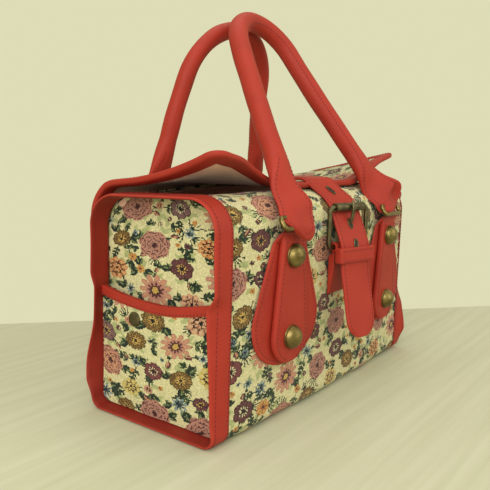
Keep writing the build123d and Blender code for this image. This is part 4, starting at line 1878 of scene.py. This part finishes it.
@dataclass
class Tab:
    """One handle tab: a flat base leaf, a padded face leaf and two domed studs."""

    shape: Shape
    look: Materials
    name: str
    x: float
    facing: int
    rise: float = 0.0
    stud_heights: tuple[float, float] = (76.0, 146.0)
    shift: float = 0.0
    base_leaf: Leaf = Leaf(
        38.0, 88.0, 168.0, 15.5, ((8.6, 167.6), (6.4, 164.2), (1.5, 157.0), (1.5, 50.1)), (2.0, 8.0), 2.4, 1.3, 3.0
    )
    face_leaf: Leaf = Leaf(24.0, 76.5, 160.0, 15.0, ((6.4, 166.0), (5.7, 160.0), (5.7, 52.6)), (8.0,), 6.0, 1.04, 1.5)
    face_out: float = 8.7
    stud_radius: float = 10.5
    stud_dome: float = 8.4
    foot_run: float = 3.0
    neck_start: float = 157.0
    neck_run: float = 8.0
    lift_start: float = 158.0
    lift_run: float = 10.0
    shade_start: float = 163.0
    shade_run: float = 4.0
    seam_inset: float = 3.4

    def point(self, across: Grid, out: Grid, height: Grid) -> Grid:
        """A place on the tab: across it, out from the panel, and up.

        Args:
            across: Distance across.
            out: Distance out from the bag.
            height: Height.

        Returns:
            The points in millimetres.
        """
        tilt = math.asin(self.x / self.shape.bow)
        foot = (self.x + self.shift, self.facing * float(self.shape.face(self.x)))
        px = foot[0] + across * math.cos(tilt) + out * math.sin(tilt)
        py = foot[1] - self.facing * across * math.sin(tilt) + self.facing * out * math.cos(tilt)
        return np.stack([px, py, height + 0 * px], -1)

    def build(self) -> None:
        """Make, sew and stud the tab."""
        for layer, leaf in (("base", self.base_leaf), ("face", self.face_leaf)):
            node = f"{self.name}_tab_{layer}"
            line = leaf.line()
            lifted = line + np.array((0.0, self.rise)) * eased((line[:, 1:] - self.lift_start) / self.lift_run)
            neck = eased((line[:, 1] - self.neck_start) / self.neck_run)
            thick = leaf.thick + (leaf.neck_thick - leaf.thick) * neck
            low = line[-1, 1]
            thick = thick * (0.45 + 0.55 * eased((line[:, 1] - low) / self.foot_run))

            def place(across: Grid, out: Grid, height: Grid) -> Grid:
                """Points of the leaf."""
                return self.point(across + leaf.aside, out, height)

            piece = flat_strip(f"{node}_leather", lifted, leaf.half(line[:, 1]), thick, place, 0.2)
            dress(piece, self.look.leather, Slot.LEATHER, Body.BAG, node)
            if layer == "face":
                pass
            else:
                # Painted shadow: the base leaf's neck above shade_start is darkened, as the shade inside its loop
                # round the link.
                shade = -0.4 * eased((points_of(piece.data)[:, 2] / MM - self.shade_start) / self.shade_run)
                piece.data.attributes["wear"].data.foreach_set("value", shade.astype(np.float32))
            inner = leaf.half(line[:, 1], self.seam_inset)
            sewn = (line[:, 1] > low + self.seam_inset) & (line[:, 1] < self.lift_start)
            proud = line[sewn, 0] + leaf.thick / 2 + 3.0
            guides = [place(side * inner[sewn], proud, line[sewn, 1]) for side in (-1, 1)]
            Seam().sew(self.look, piece, f"{node}_stitches", guides)
        self._studs()

    def _studs(self) -> None:
        """Set the two studs on the face."""

        def seat(height: float) -> Seat:
            """The seat of one stud."""
            return lambda x, y, out: self.point(x, self.face_out + out, height + y)

        seats = [seat(height) for height in self.stud_heights]
        piece = turned_caps(f"{self.name}_tab_domes", self.stud_radius, self.stud_dome, seats)
        dress(piece, self.look.brass, Slot.BRASS, Body.BAG, f"{self.name}_tab_studs")


@dataclass
class GripLine:
    """The middle line of a handle from one leaf's end to the other, and its section there."""

    across: Grid
    up: Grid
    side_x: Grid
    side_up: Grid
    half: Grid
    depth: Grid
    flat: Grid
    out: Grid
    twist: Grid
    slant: Grid
    run: Grid

    def cut(self, which: slice) -> GripLine:
        """A stretch of the line."""
        return GripLine(*(getattr(self, name)[which] for name in self.__dataclass_fields__))


@dataclass
class Handle:
    """One rolled handle: a padded grip that flattens into a leaf folded over each link."""

    shape: Shape
    look: Materials
    name: str
    facing: int
    body: Body
    distance: float
    height: float
    lean: float
    leg_angle: float
    arc_radius: float
    stretch: float = 1.0
    sway: float = 0.0
    twists: tuple[float, float] = (0.0, 0.0)
    slant: float = 0.0
    radius: float = 9.6
    stand_off: float = 14.0
    room_runs: tuple[float, ...] = (-15.0, -7.0, 0.0, 10.0, 15.0, 20.0, 30.0, 42.0)
    room_outs: tuple[float, ...] = (-10.0, -2.5, 3.0, 5.0, 6.5, 11.0, 21.0, 60.0)
    room_soft: float = 1.5
    tip_asides: tuple[float, float] = (16.0, 13.0)
    tip_run: float = 4.0
    tip_rooms: tuple[float, float] = (-2.5, 3.5)
    tip_slope: float = 1.09
    leaf_end: float = -5.0
    leaf_widest: float = 9.0
    leaf_top: float = 76.0
    leaf_halves: tuple[float, float] = (18.5, 18.5)
    end_rises: tuple[float, float] = (0.0, 0.0)
    leaf_depth: float = 2.3
    leaf_out: float = 6.0
    rise_run: float = 34.0
    out_start: float = 42.0
    out_run: float = 32.0
    right_out: float = 1.7
    slant_run: float = 36.0
    right_slant: float = 0.4
    seam_inset: float = 3.2
    around: int = 28

    def point(self, across: Grid, up: Grid, out: Grid) -> Grid:
        """A place in the handle's leaning plane, and out from it away from the bag.

        Args:
            across: Distance across.
            up: Distance up the handle's plane.
            out: Distance out from the bag.

        Returns:
            The points in millimetres.
        """
        tilt = math.radians(self.lean)
        y = self.facing * (float(self.shape.face(self.distance)) + self.stand_off)
        py = y + self.facing * (out * math.cos(tilt) - up * math.sin(tilt))
        pz = self.height + up * math.cos(tilt) + out * math.sin(tilt)
        return np.stack([across, py, pz], -1)

    def line(self) -> GripLine:
        """Work out the middle line and the section along it.

        Returns:
            The line.
        """
        slope = math.radians(self.leg_angle)
        leg = (self.distance - self.arc_radius * math.cos(slope)) / math.sin(slope)
        end = self.leaf_end + 0.4
        run = np.concatenate([
            end + (self.leaf_widest - end) * np.linspace(0, 1, 14)[:-1] ** 1.6,
            np.linspace(self.leaf_widest, leg, 90)[:-1],
            leg + np.linspace(0, self.arc_radius * (math.pi / 2 - slope), 50),
        ])
        turn = slope + np.maximum(run - leg, 0) / self.arc_radius
        straight = np.minimum(run, leg)
        across = self.distance - straight * math.sin(slope)
        across += self.arc_radius * (np.cos(turn) - math.cos(slope))
        up = straight * math.cos(slope) + self.arc_radius * (np.sin(turn) - math.sin(slope))
        up = up * (1 + (self.stretch - 1) * eased(up / up[-1]))
        across = np.concatenate([across, -across[-2::-1]])
        up = np.concatenate([up, up[-2::-1]])
        run = np.concatenate([run, run[-2::-1]])
        across = across - self.sway * np.sin(math.pi * np.clip(up / up.max(), 0, 1) ** 1.3)
        step = np.stack([np.gradient(across), np.gradient(up)])
        step /= np.linalg.norm(step, axis=0)
        leaf = eased((self.leaf_top - run) / (self.leaf_top - self.leaf_widest))
        taper = np.clip((self.leaf_top - run) / (self.leaf_top - self.leaf_widest), 0, 1)
        right = across > 0
        widest, turns, rises = (
            np.where(right, pair[1], pair[0]) for pair in (self.leaf_halves, self.twists, self.end_rises)
        )
        half = self.radius + (widest - self.radius) * taper
        past = np.clip((self.leaf_widest - run) / (self.leaf_widest - self.leaf_end), 0, 1)
        half *= np.sqrt(1 - past**4.0)
        depth = self.radius + (self.leaf_depth - self.radius) * eased(1.25 * leaf)
        twist = np.radians(turns) * np.where(right, 1.0, -1.0) * eased(1.2 * leaf)
        up = up + rises * eased((self.rise_run - run) / self.rise_run)
        out = self.leaf_out * eased((self.out_start - run) / self.out_run) * np.where(right, self.right_out, 1.0)
        slant = self.slant * eased((self.slant_run - run) / self.slant_run) * np.where(right, self.right_slant, 1.0)
        return GripLine(across, up, step[1], -step[0], half, depth, leaf, out, twist, slant, run)

    def at(self, line: GripLine, wide: Grid, out: Grid) -> Grid:
        """Points beside the middle line: across the section and out of it.

        Args:
            line: The middle line.
            wide: Distance across the section.
            out: Distance out of the section.

        Returns:
            The points in millimetres.
        """
        flat = wide * np.cos(line.twist) - out * np.sin(line.twist)
        aside = line.side_x * flat
        low = line.run - line.slant * aside
        room = np.interp(low, self.room_runs, self.room_outs)
        start, spot = (np.where(line.across > 0, pair[1], pair[0]) for pair in (self.tip_asides, self.tip_rooms))
        tip = eased((aside - start) / self.tip_run)
        room = room + (np.maximum(spot + self.tip_slope * low, room) - room) * tip
        spare = room - wide * np.sin(line.twist) - line.out
        away = room - self.room_soft * np.logaddexp(0.0, spare / self.room_soft) + out * np.cos(line.twist)
        return self.point(line.across + aside, line.up + line.side_up * flat - line.slant * aside, away)

    def build(self) -> None:
        """Make and sew the handle."""
        node = f"{self.name}_handle"
        line = self.line()
        rows = []
        for angle in np.linspace(0, 2 * math.pi, self.around, endpoint=False):
            c, s = math.cos(angle), math.sin(angle)
            lift = np.sign(s) * abs(s) ** (1 - 0.5 * line.flat)
            rows.append(self.at(line, line.half * c, line.depth * lift))
        piece = rounded(strip_mesh(f"{node}_leather", np.stack(rows, 1), closed=False))
        points = points_of(piece.data)
        dents = ripple((points[:, 2] + points[:, 0]) / MM, points[:, 1] / MM, 42.0, 91)
        set_points(piece.data, points + normals_of(piece.data) * 0.3 * MM * dents[:, None])
        no_wear_or_shade(piece)
        dress(piece, self.look.leather, Slot.LEATHER, self.body, node)
        guides = []
        sewn = int(np.count_nonzero(line.flat > 0.12) / 2)
        for which in (slice(3, sewn), slice(-sewn, -3)):
            leaf = line.cut(which)
            for side in (-1, 1):
                for out in (-3.0, 3.0):
                    inner = side * (leaf.half - self.seam_inset)
                    guides.append(self.at(leaf, inner, out + np.sign(out) * leaf.depth))
        grip = line.cut(slice(sewn - 8, 8 - sewn))
        guides.append(self.at(grip, -grip.half * 0.9, grip.depth * 0.9))
        Seam().sew(self.look, piece, f"{node}_stitches", guides, self.body)


@dataclass
class Closure:
    """The strap with its holes, its keeper and tab, and the roller buckle."""

    shape: Shape
    look: Materials
    nodes: dict
    turn_angle: float = 12.0
    half_width: float = 20.0
    thick: float = 3.2
    path: tuple[tuple[float, float], ...] = (
        (-50.0, 206.4), (-21.0, 206.4), (3.2, 183.0), (19.6, 148.0), (21.6, 122.0), (34.5, 62.0),
    )
    bends: tuple[float, ...] = (15.0, 14.0, 18.0, 60.0)
    lead: float = 9.0
    lead_start: float = 186.0
    lead_run: float = 18.0
    seam_inset: float = 3.0
    keeper_seam: float = 2.4
    keeper_out: float = 32.0
    keeper_shift: float = 2.4
    keeper_rise: float = 5.5
    tip_round: float = 17.0
    hole_heights: tuple[float, ...] = (194.9, 166.0, 147.0)
    hole: tuple[float, float] = (4.6, 2.6)
    prong_path: tuple[tuple[float, float], ...] = (
        (10.2, 147.0), (8.6, 160.0), (14.6, 171.0), (16.6, 181.0), (14.6, 188.4),
    )
    prong_half: tuple[float, float] = (2.4, 1.7)
    keeper: tuple[float, float] = (126.0, 140.0)

    def point(self, across: Grid, out: Grid, height: Grid) -> Grid:
        """A place on the closure: across the strap, out from the front panel, and up.

        Args:
            across: Distance across.
            out: Distance out from the bag.
            height: Height.

        Returns:
            The points in millimetres.
        """
        turn = math.radians(self.turn_angle)
        across = across - self.lead * eased((height - self.lead_start) / self.lead_run)
        px = across * math.cos(turn) - out * math.sin(turn)
        py = -(self.shape.half_depth + self.shape.bulge) - across * math.sin(turn) - out * math.cos(turn)
        return np.stack([px, py, height + 0 * px], -1)

    def build(self) -> None:
        """Make the leather pieces and finish the metal."""
        self._strap()
        self._prong()
        self._soft("buckle_tab", 5)
        keeper = self._soft("buckle_keeper", 4)
        points = points_of(keeper.data)
        turn = math.radians(self.turn_angle)
        push = np.array((-math.sin(turn), -math.cos(turn), 0.0)) * self.keeper_shift * MM
        out = (points @ push) / np.linalg.norm(push) / MM - (self.shape.half_depth + self.shape.bulge) * math.cos(turn)
        points = points + push * eased((out - 8.0) / 8.0)[:, None]
        points[:, 2] += self.keeper_rise * MM
        set_points(keeper.data, points)
        across = np.linspace(-self.half_width, self.half_width, 12)
        lines = []
        for height in (self.keeper[0] + self.keeper_seam, self.keeper[1] - self.keeper_seam):
            lines.append(self.point(across, np.full(12, self.keeper_out), np.full(12, height + self.keeper_rise)))
        Seam().sew(self.look, keeper, "buckle_keeper_stitches", lines)
        for name in ("buckle_frame", "buckle_roller"):
            paint(self.nodes[name], self.look.gunmetal, METAL_EDGE)

    def _strap(self) -> None:
        """Cut the strap to its rounded tip, bend it, sew it and set its holes."""
        line = bent_line(self.path, self.bends, 2.0)
        step, left = headings(line)
        from_tip = np.append(np.cumsum(np.linalg.norm(np.diff(line, axis=0), axis=1)[::-1])[::-1], 0.25)
        short = np.clip(self.tip_round - from_tip, 0, self.tip_round)
        half = self.half_width - self.tip_round + np.sqrt(self.tip_round**2 - short**2)
        piece = flat_strip("closure_strap_leather", line, half, np.full(len(line), self.thick), self.point, 0.35)
        dress(piece, self.look.leather, Slot.LEATHER, Body.BAG, "closure_strap")
        proud = line + left * 4.0
        inner = np.maximum(half - self.seam_inset, 0.0)
        guides = [self.point(side * inner, proud[:, 0], proud[:, 1])[4:-3] for side in (-1, 1)]
        Seam().sew(self.look, piece, "closure_strap_stitches", guides)
        self._holes(line, left, step)

    def _holes(self, line: Grid, left: Grid, step: Grid) -> None:
        """Set a metal rim round each hole of the strap, over a dark disc that paints the shade inside the hole.

        Args:
            line: The middle line.
            left: Direction out of the strap at each point.
            step: Direction along the strap at each point.
        """
        long, wide = self.hole
        turn = np.linspace(0, 2 * math.pi, 32, endpoint=False)
        rims, wells = [], []
        for height in self.hole_heights:
            at = int(np.argmin(abs(line[:, 1] - height)))
            loop = np.stack([wide * np.cos(turn), long * np.sin(turn)], 1)
            rows = []
            for angle in np.linspace(0, 2 * math.pi, 8, endpoint=False):
                grown = loop * (1 + 0.22 * math.cos(angle))
                lift = self.thick / 2 + 0.2 + 0.6 * math.sin(angle)
                place = line[at] + step[at] * grown[:, 1:] + left[at] * lift
                rows.append(self.point(grown[:, 0], place[:, 0], place[:, 1]))
            rims.append(np.stack(rows, 1))
            # A dark disc a little over the strap paints the shade inside each hole.
            rows = []
            for share, lift in ((0.95, 0.3), (0.5, 0.26), (0.02, 0.25)):
                place = line[at] + step[at] * loop[:, 1:] * share + left[at] * (self.thick / 2 + lift)
                rows.append(self.point(loop[:, 0] * share, place[:, 0], place[:, 1]))
            wells.append(np.stack(rows, 1))
        for label, parts, finish in (("rims", rims, self.look.gunmetal), ("wells", wells, self.look.shadow)):
            made = [strip_mesh(f"strap_hole_{label}_{k}", rows, closed=True) for k, rows in enumerate(parts)]
            nodes = ("strap_eyelets",) if label == "rims" else ()
            slot = Slot.BRASS if nodes else Slot.LEATHER
            dress(joined(made, f"strap_hole_{label}"), finish, slot, Body.BAG, *nodes)

    def _prong(self) -> None:
        """Bend the prong from the bar through the strap and over the roller."""
        line = bent_line(self.prong_path, (8.0, 9.0, 9.0), 1.2)
        _, left = headings(line)
        thin = 1 - 0.35 * np.linspace(0, 1, len(line)) ** 3
        rows = []
        for angle in np.linspace(0, 2 * math.pi, 14, endpoint=False):
            away = line + left * (self.prong_half[1] * math.sin(angle) * thin)[:, None]
            rows.append(self.point(self.prong_half[0] * math.cos(angle) * thin, away[:, 0], away[:, 1]))
        piece = rounded(strip_mesh("buckle_prong_metal", np.stack(rows, 1), closed=False))
        dress(piece, self.look.gunmetal, Slot.BRASS, Body.PRONG, "buckle_prong")

    def _soft(self, name: str, passes: int) -> Piece:
        """Soften one leather piece of the closure."""
        piece = softened(self.nodes[name], f"{name}_leather", 0.6, passes)
        return dress(piece, self.look.leather, Slot.LEATHER, Body.BAG, name)


@dataclass
class Studio:
    """Pale floor and backdrop, soft light and the camera."""

    camera_place: tuple[float, float, float] = (-0.530, -0.352, 0.229)
    yaw: float = -53.83
    pitch: float = 8.39
    roll: float = 1.63
    focal_pixels: float = 623.0
    frame_pixels: float = 490.0
    floor_reach: float = 0.82
    floor_size: float = 3.0
    floor_skew: float = 0.25
    sky_level: float = 0.5
    sky_colour: Colour = linear(222, 220, 182)

    def build(self) -> None:
        """Set up the studio."""
        self._backdrop()
        self._lights()
        self._sky()
        self._camera()
        bpy.context.scene.view_settings.view_transform = "Standard"

    def _backdrop(self) -> None:
        """A floor that sweeps up into a plain wall."""
        deselect()
        a = math.radians(self.yaw)
        middle = self.floor_reach - self.floor_size / 2
        place = (self.camera_place[0] - middle * math.sin(a), self.camera_place[1] + middle * math.cos(a), -0.0005)
        bpy.ops.mesh.primitive_plane_add(size=self.floor_size, location=place, rotation=(0, 0, a + self.floor_skew))
        bpy.ops.object.transform_apply(location=True, rotation=True, scale=True)
        floor = bpy.context.object
        floor.name = "floor"
        recipe = Recipe("pale_table")
        laid = {"Vector": recipe.place(), "Rotation": (0, 0, 0.6), "Scale": (2, 46, 1)}
        along = recipe.node("ShaderNodeMapping", None, laid)
        streak = recipe.node("ShaderNodeTexNoise", None, {"Vector": along, "Scale": 2.0, "Detail": 4.0})
        tone = recipe.mixed((streak * 2.0 - 0.5).clamped(), linear(189, 188, 159), linear(204, 203, 177))
        floor.data.materials.append(recipe.surface(Base_Color=tone, Roughness=0.7))
        floor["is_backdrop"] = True

    def _lights(self) -> None:
        """A soft key light, a broad fill, a top light and a low one at the near end."""
        for name, place, size, power, colour in (
            ("key", (-1.5, -0.75, 1.15), 1.4, 27.0, (1.0, 0.98, 0.93)),
            ("fill", (0.5, -1.7, 1.0), 1.6, 13.0, (1.0, 0.98, 0.94)),
            ("top", (0.1, 0.2, 1.9), 1.6, 12.0, (1.0, 0.99, 0.96)),
            ("low", (-1.5, -0.35, 0.2), 0.9, 4.5, (1.0, 0.98, 0.94)),
        ):
            lamp = bpy.data.lights.new(name, "AREA")
            lamp.size, lamp.energy, lamp.color = size, power, colour
            holder = bpy.data.objects.new(name, lamp)
            bpy.context.scene.collection.objects.link(holder)
            aim = Vector((0, 0, 0.12)) - Vector(place)
            holder.matrix_world = Matrix.Translation(place) @ aim.to_track_quat("-Z", "Y").to_matrix().to_4x4()

    def _sky(self) -> None:
        """An even pale sky, seen at full strength and lighting the bag at less."""
        world = bpy.data.worlds.new("studio")
        world.use_nodes = True
        kit = NodeKit(world.node_tree)
        rays = (f"Is {kind} Ray" for kind in ("Camera", "Glossy", "Transmission"))
        camera, glossy, through = (kit.node("ShaderNodeLightPath", output=ray) for ray in rays)
        seen = camera.math("MAXIMUM", glossy).math("MAXIMUM", through)
        sky = world.node_tree.nodes["Background"].inputs
        kit.feed(sky["Color"], opaque(self.sky_colour))
        kit.feed(sky["Strength"], self.sky_level + (1.0 - self.sky_level) * seen)
        bpy.context.scene.world = world

    def _camera(self) -> None:
        """The camera at the photograph's place."""
        lens = bpy.data.cameras.new("camera")
        lens.sensor_width = 36.0
        lens.lens = 36.0 * self.focal_pixels / self.frame_pixels
        holder = bpy.data.objects.new("camera", lens)
        bpy.context.scene.collection.objects.link(holder)
        a, e, tilt = (math.radians(angle) for angle in (self.yaw, self.pitch, self.roll))
        back = Vector((math.sin(a) * math.cos(e), -math.cos(a) * math.cos(e), math.sin(e)))
        right = Vector((math.cos(a), math.sin(a), 0))
        up = back.cross(right)
        level = right * math.cos(tilt) + up * math.sin(tilt)
        rise = up * math.cos(tilt) - right * math.sin(tilt)
        turn = Matrix((level, rise, back)).transposed().to_4x4()
        holder.matrix_world = Matrix.Translation(self.camera_place) @ turn
        bpy.context.scene.camera = holder


@dataclass
class Slump:
    """The sunk top of the bag's slack left end, lowest at its back."""

    shape: Shape
    sink: float = 5.5
    bottom: float = 110.0
    rise: float = 85.0
    start: float = 30.0
    run: float = 120.0
    stiff: tuple[str, ...] = ("front_handle", "back_handle", "buckle_prong")

    def settle(self, pieces: list[Piece]) -> None:
        """Let the pieces sink, apart from those that move.

        Args:
            pieces: Every new piece.
        """
        for piece in pieces:
            if piece.type != "MESH" or piece.name.startswith(self.stiff):
                continue
            points = points_of(piece.data)
            x, y, z = points.T / MM
            slack = 0.55 + 0.45 * np.clip(y / self.shape.half_depth, -1, 1)
            share = slack * eased((z - self.bottom) / self.rise) * eased((-x - self.start) / self.run)
            points[:, 2] -= self.sink * MM * share
            set_points(piece.data, points)


def main() -> None:
    """Dress the bag."""
    logging.basicConfig(level=logging.INFO, format="%(name)s %(message)s")
    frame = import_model()
    solid_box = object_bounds()
    nodes = frame["nodes"]
    handed = {piece.name for piece in bpy.data.objects}
    look = Materials.mix()
    shape = Shape()
    cloth = ClothBody(shape, look, nodes)
    cloth.walls()
    cloth.base()
    cloth.ends()
    cloth.lining()
    binding = EndBinding(shape, look, nodes)
    binding.build()
    binding.pocket_bands()
    Flap(shape, look).build()
    for name, facing, distance, body in (
        ("front", -1, 96.0, Body.FRONT_HANDLE),
        ("back", 1, 89.0, Body.BACK_HANDLE),
    ):
        for side_name, side in (("left", -1), ("right", 1)):
            lower, shift = (0.0, 4.5) if facing < 0 else (-2.0, 0.0)
            Tab(shape, look, f"{name}_{side_name}", side * distance, facing, lower, shift=shift).build()
            paint(nodes[f"{name}_{side_name}_link"], look.brass, METAL_EDGE)
        if facing < 0:
            grip = Handle(
                shape, look, name, facing, body, distance, height=170.0, lean=32.5, leg_angle=15.6, arc_radius=46.0,
                stretch=1.025, sway=4.0, twists=(24.0, 42.0), slant=0.34, leaf_halves=(19.0, 24.0),
                end_rises=(-2.0, 6.0),
            )
        else:
            grip = Handle(
                shape, look, name, facing, body, distance, height=168.0, lean=11.8, leg_angle=11.5, arc_radius=62.0,
                sway=8.0, radius=8.4,
            )
        grip.build()
    Closure(shape, look, nodes).build()
    Slump(shape).settle([piece for piece in bpy.data.objects if piece.name not in handed])
    Studio().build()
    boxes = {"cad": solid_box, "visual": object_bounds()}
    {key: [list(corner) for corner in box] for key, box in boxes.items()}


if __name__ == "__main__":
    main()
